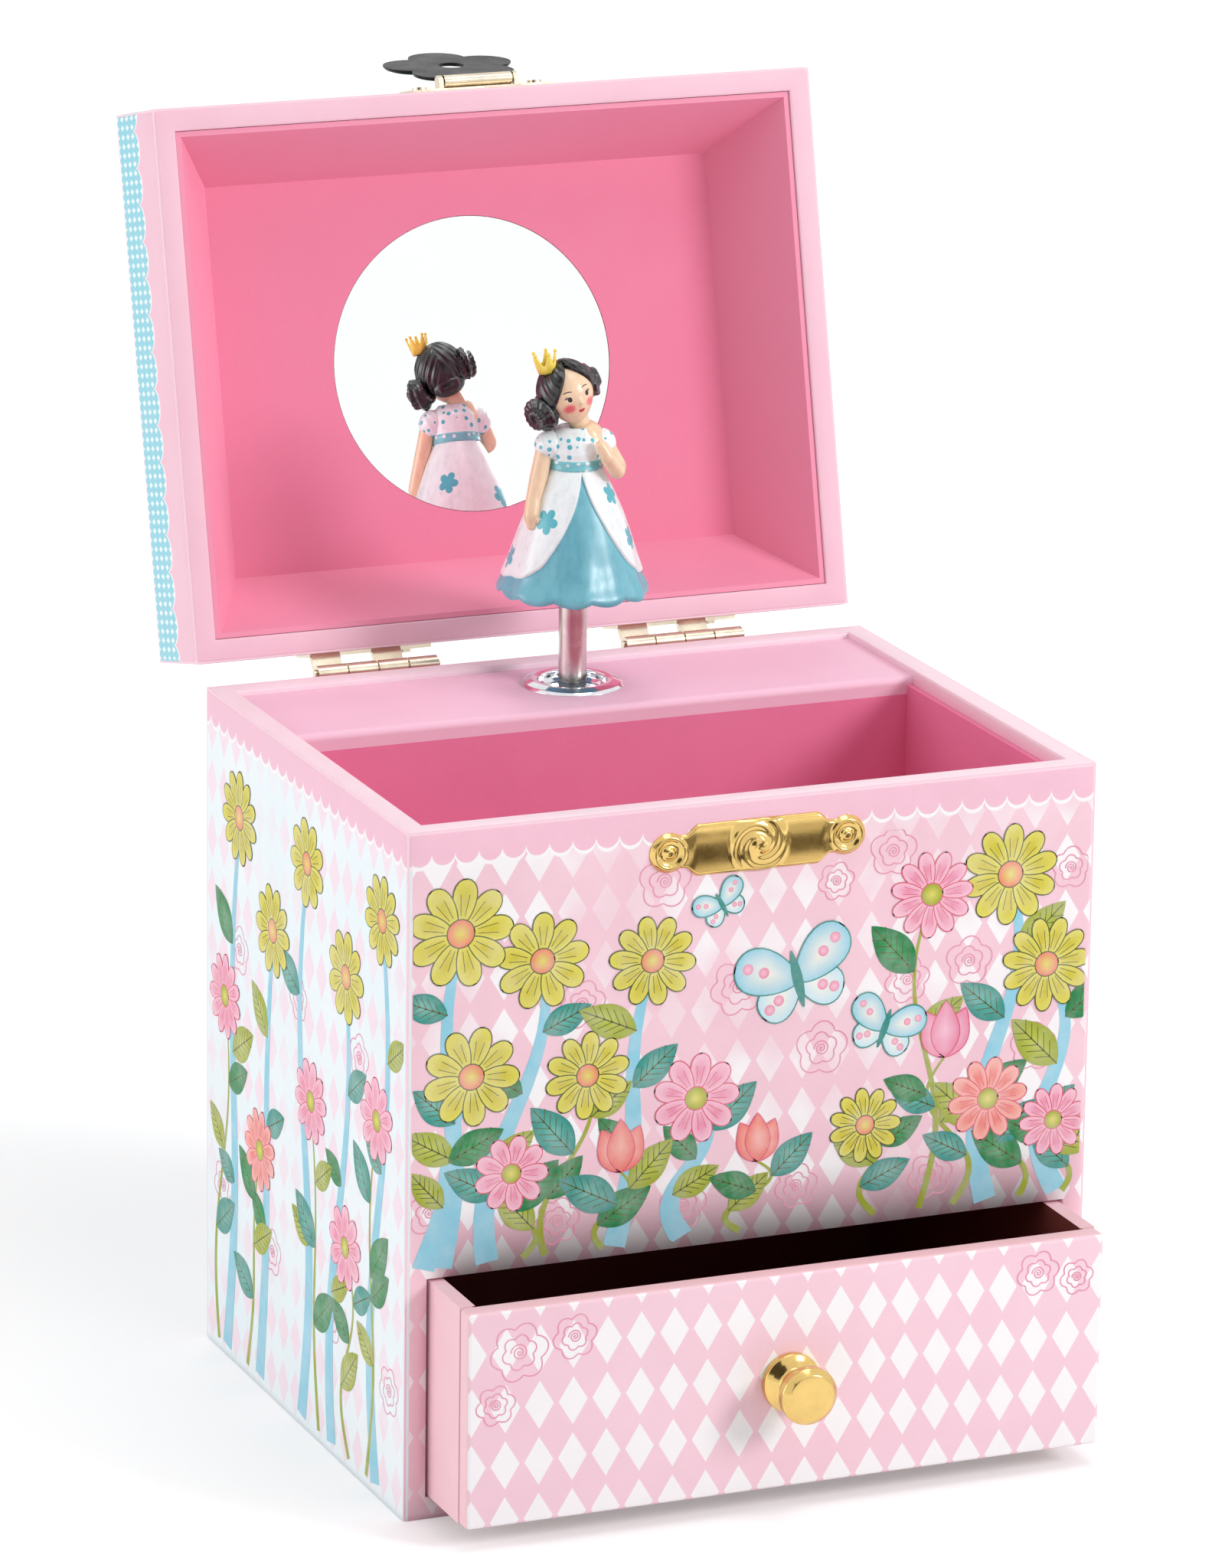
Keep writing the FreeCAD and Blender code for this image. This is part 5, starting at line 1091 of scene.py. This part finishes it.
def makeBodice():
    # an oval trunk by height, with two puffed sleeves whose gathers follow cos(12 t) towards both ends
    count, rows = 120, 40
    t = np.linspace(0, 2 * math.pi, count, endpoint=False)
    z = np.linspace(bodice["heights"][0], bodice["heights"][-1], rows)
    band = 0.25 * ease(0.9, 0.6, np.abs(z - 38.4))
    halfX, halfY = (smoothCurve(z, bodice["heights"], bodice[way], 13) + band for way in ("halfX", "halfY"))
    trunk = np.stack([np.outer(np.cos(t), halfX), np.outer(np.sin(t), halfY), np.tile(z, (count, 1))], -1)
    parts = [(trunk, gridFaces(count, rows, wrapU=True))]
    for row, height in ((-1, 44.2), (0, 37.8)):
        end = np.array([trunk[:, row], np.broadcast_to([0, 0, height], (count, 3))])
        parts.append((end, gridFaces(2, count, wrapV=True)))
    round64 = np.linspace(0, 2 * math.pi, 64, endpoint=False)
    aa, bb = np.meshgrid(np.linspace(0, math.pi, 40), round64, indexing="ij")
    wide, tall = bodice["sleeve"]
    reach = wide * np.sin(aa) * (1 + 0.05 * np.cos(12 * bb) * (1 - np.sin(aa) ** 2 * 0.7))
    puff = np.stack([reach * np.cos(bb), reach * np.sin(bb), tall * np.cos(aa)], -1)
    for side in (-1, 1):
        spot = np.array(bodice["sleeveAt"]) * [side, 1, 1]
        parts.append((turnY(puff, side * 0.55) + spot, gridFaces(40, 64, wrapV=True)))
    points, grid = joinGrids(*parts)

    def colourOf(tree):
        at = inMillimetres(tree)
        cells = add(tree, "TexVoronoi", {"Vector": at, "Scale": 0.72, "Randomness": 0.45}).outputs["Distance"]
        dots = ramp(tree, cells, 0.34, 0.26)
        height = parted(tree, at)["Z"]
        over, under = (figure["at"][2] + edge for edge in bodice["belt"])
        above, below = calc(tree, "GREATER_THAN", height, over), calc(tree, "LESS_THAN", height, under)
        belt = calc(tree, "MULTIPLY", above, below)
        cloth = blendColours(tree, dots, gownWhite, gownTeal)
        return blendColours(tree, belt, cloth, blendColours(tree, dots, rgb(122, 198, 208), rgb(236, 246, 247)))

    makePiece("dollBodice", onStem(points), grid, paintedPlastic("bodicePaint", colourOf), "figure",
              hides=["figurine_bodice"], slot="bodice_plastic")


def skinOf(tree):
    return blendColours(tree, noise(tree, place(tree), 300.0), skinTone, rgb(248, 216, 184))


arms = {  # knots of each limb and its radii there
    "hanging": ([(-5.4, -0.4, 40.4), (-6.5, -1.2, 36.4), (-7.6, -2.2, 33.0), (-8.2, -3.2, 30.2),
                 (-8.3, -3.5, 28.6)], [1.5, 1.5, 1.3, 1.35, 0.8]),
    "raised": ([(5.4, -0.6, 40.6), (6.8, -2.2, 37.8), (6.2, -4.2, 37.4), (4.4, -5.2, 39.8), (3.1, -5.1, 42.2)],
               [1.5, 1.5, 1.4, 1.25, 0.9]),
    "thumb": ([(-7.9, -3.6, 30.6), (-7.3, -4.1, 29.3)], [0.5, 0.36], 14),
}
for k in range(3):
    finger = [(3.8 + k * 0.45, -5.4, 41.2 - k * 0.1), (2.9 + k * 0.5, -5.25, 42.9 - k * 0.22)]
    arms[f"finger{k}"] = (finger, [0.42, 0.34], 14)


def makeArms():
    # round limbs carried along soft lines, from shoulder to fingertips
    points, grid = joinGrids(*(tube(*limbPath(*line), 22) for line in arms.values()))
    makePiece("dollArms", onStem(points), grid, paintedPlastic("skinPaint", skinOf), "figure",
              hides=["figurine_arms"], slot="skin_plastic")


head = {"centre": (-1.4, -0.5, 50.1), "lean": math.radians(-17.5), "look": math.radians(12.0),
        "size": (4.2, 4.4, 5.05)}


def onNeck(p):  # head pieces are made about the head's centre, facing the front
    return onStem(turnY(turnZ(np.asarray(p, float), head["look"]), head["lean"]) + np.array(head["centre"]))


def headSurface(across, up):
    # an egg: an ellipsoid narrowed towards the chin by a smooth step, plus a small nose
    sx, sy, sz = head["size"]
    narrow = 1 - 0.2 * ease(0.1, -1.0, np.sin(up))
    x = sx * np.cos(up) * np.sin(across) * narrow
    y = -sy * np.cos(up) * np.cos(across) * (1 - 0.08 * ease(0.0, -1.0, np.sin(up)))
    z = sz * np.sin(up)
    nose = 0.42 * np.exp(-((across / 0.11) ** 2) - ((up + 0.16) / 0.12) ** 2)
    return np.stack([x, y - nose, z], -1)


def makeHead():
    # the egg on a neck; eyes, lashes, brows, cheeks and lips are kept as distances on its points
    across = np.linspace(-math.pi, math.pi, 320, endpoint=False)
    up = np.linspace(-math.pi / 2, math.pi / 2, 170)
    aa, uu = np.meshgrid(across, up, indexing="ij")
    points = headSurface(aa, uu)
    x, z = points[..., 0], points[..., 2]
    front = points[..., 1] < 0

    def mark(cx, cz, rx, rz, tilt=0.0):  # distance outside an ellipse on the face, below 0 inside
        dx, dz = x - cx, z - cz
        c, s = math.cos(tilt), math.sin(tilt)
        reach = np.hypot((dx * c + dz * s) / rx, (dz * c - dx * s) / rz) - 1
        return np.where(front, reach * min(rx, rz), 9.0)

    eyes = np.minimum(mark(-1.62, 0.3, 0.36, 0.46), mark(1.62, 0.3, 0.36, 0.46))
    for side in (-1, 1):
        for lean, off in ((0.5, 0.30), (0.9, 0.48), (1.35, 0.6)):
            lash = mark(side * (1.64 + off), 0.5 + 0.26 * (1.4 - lean), 0.28, 0.07, side * (1.35 - lean))
            eyes = np.minimum(eyes, lash)
        brow = np.abs(np.hypot(x - side * 1.6, z - 0.3) - 1.3) - 0.08
        eyes = np.minimum(eyes, np.where(front & (z > 1.4), brow, 9.0))
    cheeks = np.minimum(mark(-1.95, -1.35, 1.0, 0.9), mark(1.95, -1.35, 1.0, 0.9))
    lips = np.minimum(mark(-0.22, -2.2, 0.38, 0.22, -0.25), mark(0.22, -2.2, 0.38, 0.22, 0.25))
    lips = np.minimum(lips, mark(0.0, -2.38, 0.42, 0.2))
    neck = tube(*limbPath([(0.9, 0.7, -8.0), (0.7, 0.6, -5.8), (0.3, 0.4, -3.4)], [2.3, 1.75, 1.75], 20), 40)
    chest = tube(*limbPath([(0.9, 0.2, -8.9), (0.9, 0.2, -8.2)], [3.2, 3.0], 16), 48)
    allPoints, grid = joinGrids((points, gridFaces(320, 170, wrapU=True)), neck, chest)
    extra = len(allPoints) - points.shape[0] * points.shape[1]
    fields = {key: np.concatenate([values.ravel(), np.full(extra, 9.0)]) for key, values in
              (("eyes", eyes), ("cheeks", cheeks), ("lips", lips))}

    def colourOf(tree):
        blush = ramp(tree, field(tree, "cheeks", "Fac"), 0.2, -0.5, 0.0, 0.95)
        skin = blendColours(tree, blush, skinOf(tree), cheekTone)
        skin = blendColours(tree, ramp(tree, field(tree, "lips", "Fac"), 0.03, -0.03), skin, rgb(205, 52, 62))
        return blendColours(tree, ramp(tree, field(tree, "eyes", "Fac"), 0.03, -0.03), skin, rgb(24, 20, 22))

    makePiece("dollHead", onNeck(allPoints), grid, paintedPlastic("facePaint", colourOf), "figure",
              hides=["figurine_head"], slot="skin_plastic", fields=fields)


hair = {"part": 0.12, "lineAngles": [0, 8, 22, 40, 60, 80, 110, 180],
        "lineHeights": [72, 63, 45, 20, -6, -20, -36, -44],
        "rolls": [((-5.1, 0.9, -1.5), (2.5, 3.0, 3.0), 1, 0.35), ((4.4, 1.3, 0.3), (2.2, 2.9, 2.9), -1, 0.25)]}


def makeHair():
    # a cap proud of the head above a hairline, combed in ridges, a rolled curl at each side, a bun behind
    across, level = np.linspace(-math.pi, math.pi, 260, endpoint=False), np.linspace(0, 1, 90)
    aa, ll = np.meshgrid(across, level, indexing="ij")
    part = hair["part"]
    sideAway = np.degrees(np.abs((aa - part + math.pi) % (2 * math.pi) - math.pi))
    line = np.radians(smoothCurve(sideAway, hair["lineAngles"], hair["lineHeights"], 11))
    uu = line + (math.pi / 2 - line) * ll
    thick = 0.7 * ease(0.0, 0.12, ll) + 0.25 * ease(0.1, 0.5, ll) - 0.02
    flow = 26 * (aa - part) * (1 - 0.45 * ll) + 9 * ll
    comb = 0.09 * np.sin(flow) * ease(0.02, 0.2, ll) * ease(1.0, 0.8, ll)
    groove = -0.35 * np.exp(-((aa - part) / 0.05) ** 2) * ease(0.05, 0.2, ll) * (np.abs(aa) < 1.2)
    cap = headSurface(aa, uu)
    normal = cap / np.linalg.norm(cap, axis=-1)[..., None]
    cap = cap + normal * (thick + comb + groove)[..., None] + np.array([0, 0.25, 0.1])
    parts, tones = [(cap, gridFaces(260, 90, wrapU=True))], [(0.42 + 0.42 * np.sin(flow)).ravel()]
    a, b = np.linspace(0.001, math.pi - 0.001, 90), np.linspace(0, 2 * math.pi, 110, endpoint=False)
    ga, gb = np.meshgrid(a, b, indexing="ij")
    for centre, size, spin, axis in hair["rolls"]:
        coil = np.cos(gb - spin * 7.5 * np.minimum(ga, math.pi - ga) + 0.7)
        lift = 1 + 0.085 * coil * ease(0.0, 0.35, np.sin(ga)) + 0.02 * np.sin(14 * gb + 6 * ga)
        curl = np.stack([np.cos(ga) * -spin, np.sin(ga) * np.cos(gb), np.sin(ga) * np.sin(gb)], -1) * size
        curl = turnZ(curl * lift[..., None], spin * axis) + np.array(centre)
        parts.append((curl, gridFaces(90, 110, wrapV=True)))
        tones.append((0.5 + 0.5 * coil).ravel())
    half = np.linspace(0, math.pi, 30)
    bun, bunGrid = lathe(np.stack([2.6 * np.sin(half), -2.2 * np.cos(half)], -1), 60)
    parts.append((bun * [1.25, 0.8, 0.85] + np.array([0.2, 3.3, -2.3]), bunGrid))
    tones.append(0.5 + 0.5 * np.sin(9 * np.arctan2(bun[:, 1], bun[:, 0])))
    points, grid = joinGrids(*parts)

    def colourOf(tree):
        streak = ramp(tree, noise(tree, place(tree), 420.0, 3.0, 0.6), 0.46, 0.66)
        shine = calc(tree, "MULTIPLY", ramp(tree, field(tree, "tone", "Fac"), 0.72, 1.0), streak)
        return blendColours(tree, shine, hairBlack, hairGrey)

    makePiece("dollHair", onNeck(points), grid, paintedPlastic("hairPaint", colourOf, 0.3, 0.4), "figure",
              hides=["figurine_hair"], slot="hair_plastic", fields={"tone": np.concatenate(tones)})


crown = {"radius": 1.3, "flare": 0.2, "low": 1.4, "rise": 1.9, "bead": 0.3, "at": (-2.4, 0.2, 5.0)}


def makeCrown():
    # a flared ring whose top edge rises to five rounded points: height = low + rise * (cosine bump)^1.3
    count = 160
    t = np.linspace(0, 2 * math.pi, count, endpoint=False)
    crest = crown["low"] + crown["rise"] * (0.5 + 0.5 * np.cos(5 * t + 1.57)) ** 1.3
    rows, wall = [], [(0.0, 0.2), (0.5, 0.22), (0.9, 0.2), (1.0, 0.08)]
    for share, out in wall + [(share, -out) for share, out in wall[::-1]]:
        z = share * crest
        r = crown["radius"] + crown["flare"] * z + out
        rows.append(np.stack([r * np.cos(t), r * np.sin(t), z], -1))
    rows.append(rows[0])
    half = np.linspace(0, math.pi, 14)
    bead = lathe(np.stack([np.sin(half), -np.cos(half)], -1) * crown["bead"], 20)
    parts = [(np.array(rows), gridFaces(len(rows), count, wrapV=True))]
    high = crown["low"] + crown["rise"]
    for k in range(5):
        a = (2 * math.pi * k - 1.57) / 5
        r = crown["radius"] + crown["flare"] * high
        parts.append((bead[0] + np.array([r * math.cos(a), r * math.sin(a), high]), bead[1]))
    points, grid = joinGrids(*parts)
    points = turnY(points, 0.12) + np.array(crown["at"])

    def colourOf(tree):
        return blendColours(tree, noise(tree, place(tree), 420.0), crownYellow, rgb(252, 230, 110))

    makePiece("dollCrown", onNeck(points), grid, paintedPlastic("crownPaint", colourOf), "figure",
              hides=["figurine_crown"], slot="crown_plastic")


makeGown()
makeBodice()
makeArms()
makeHead()
makeHair()
makeCrown()
print("figure made")

# Stage, light and camera


def makeSheet(name, corners, material):
    mesh = bpy.data.meshes.new(name)
    mesh.from_pydata(corners, [], [(0, 1, 2, 3)])
    mesh.materials.append(material)
    obj = bpy.data.objects.new(name, mesh)
    scene.collection.objects.link(obj)
    return obj


def raysSeen(tree):  # 1 for what the camera sees, straight or in metal and glass
    rays = add(tree, "LightPath").outputs
    bounced = calc(tree, "MAXIMUM", rays["Is Glossy Ray"], rays["Is Transmission Ray"])
    return calc(tree, "MAXIMUM", rays["Is Camera Ray"], bounced)


stage = {"floorHalf": 6.0, "glow": (0.3, 0.5), "domeSeen": 0.54, "domeLight": 0.46,
         "lowCard": [(-0.05, -0.8, 0.004), (0.6, -0.8, 0.004), (0.6, -0.2, 0.004), (-0.05, -0.2, 0.004)],
         "tallCard": [(-1.5, -1.3, 0.3), (-0.3, -1.3, 0.3), (-0.3, -1.3, 1.5), (-1.5, -1.3, 1.5)]}
lamps = {  # place, target, width and power, in metres and watts
    "key": ((0.9, -1.0, 0.76), (0, 0, 0.1), 0.5, 10.6), "fill": ((-1.3, 0.25, 0.25), (0, 0, 0.08), 0.9, 8),
    "top": ((0.2, -0.25, 1.3), (0, 0.02, 0.1), 0.6, 2.5), "back": ((0.1, 0.48, 1.2), (0, 0.03, 0.15), 0.4, 1.8),
}


def makeFloor():
    material, tree, shader = newMaterial("floorPaper", Roughness=0.9)
    shader.inputs["Base Color"].default_value = (0.86, 0.86, 0.87, 1)
    shader.inputs["Emission Color"].default_value = (1, 1, 1, 1)
    # white far off, with the shadow kept near the object
    off = add(tree, "VectorMath", {0: place(tree)}, operation="LENGTH").outputs["Value"]
    glow = calc(tree, "MULTIPLY", raysSeen(tree), ramp(tree, off, 0.12, 0.7, *stage["glow"]))
    feed(tree, shader.inputs["Emission Strength"], glow)
    h = stage["floorHalf"]
    makeSheet("floor", [(-h, -h, 0), (h, -h, 0), (h, h, 0), (-h, h, 0)], material)


def makeCards():  # dark cards that show in the metal pieces only
    grey, tree, shader = newMaterial("cardPaper", Roughness=0.9)
    shader.inputs["Base Color"].default_value = (0.09, 0.08, 0.07, 1)
    patchy, tree, shader = newMaterial("patchPaper", Roughness=0.9)
    patches = ramp(tree, noise(tree, place(tree), 11.0, 0.0), 0.5, 0.68)
    tone = blendColours(tree, patches, (0.05, 0.035, 0.02, 1), (0.95, 0.9, 0.85, 1))
    feed(tree, shader.inputs["Base Color"], tone)
    for name, material in (("lowCard", patchy), ("tallCard", grey)):
        card = makeSheet(name, stage[name], material)
        card.visible_camera = card.visible_diffuse = card.visible_shadow = False


def makeDome():
    world = bpy.data.worlds.new("studio")
    scene.world = world
    world.use_nodes = True
    tree = world.node_tree
    tree.nodes.clear()
    seen = calc(tree, "MULTIPLY", raysSeen(tree), stage["domeSeen"])
    strength = calc(tree, "ADD", seen, stage["domeLight"])
    dome = add(tree, "Background", {"Color": (1, 1, 1, 1), "Strength": strength})
    tree.links.new(dome.outputs[0], add(tree, "OutputWorld").inputs["Surface"])


def makeLamp(name, spot, target, size, power):  # a soft round lamp that faces its target
    lamp = bpy.data.lights.new(name, "AREA")
    lamp.shape, lamp.size, lamp.energy = "DISK", size, power
    obj = bpy.data.objects.new(name, lamp)
    way = np.array(target, float) - np.array(spot, float)
    obj.location = spot
    obj.rotation_euler = Vector(way.tolist()).to_track_quat("-Z", "Y").to_euler()
    scene.collection.objects.link(obj)


view = {"at": (-0.485837, -1.136673, 0.457783), "yaw": 0.3997, "pitch": 0.2780, "roll": 0.0140,
        "sensor": 36.0, "focal": 10155.2 / 2048 * 36}


def makeCamera():
    a, b, c = view["yaw"], view["pitch"], view["roll"]
    ahead = np.array([math.sin(a) * math.cos(b), math.cos(a) * math.cos(b), -math.sin(b)])
    right = np.array([math.cos(a), -math.sin(a), 0.0])
    above = np.cross(right, ahead)
    right, above = math.cos(c) * right + math.sin(c) * above, math.cos(c) * above - math.sin(c) * right
    data = bpy.data.cameras.new("photoView")
    data.sensor_fit, data.sensor_height, data.lens = "VERTICAL", view["sensor"], view["focal"]
    data.clip_start, data.clip_end = 0.05, 50
    obj = bpy.data.objects.new("photoView", data)
    whole = np.eye(4)
    whole[:3, :3], whole[:3, 3] = np.stack([right, above, -ahead], 1), view["at"]
    obj.matrix_world = Matrix(whole.tolist())
    scene.collection.objects.link(obj)
    scene.camera = obj


makeFloor()
makeCards()
makeDome()
for name, lamp in lamps.items():
    makeLamp(name, *lamp)
makeCamera()
scene.view_settings.view_transform = "Standard"
print("stage, light and camera set")
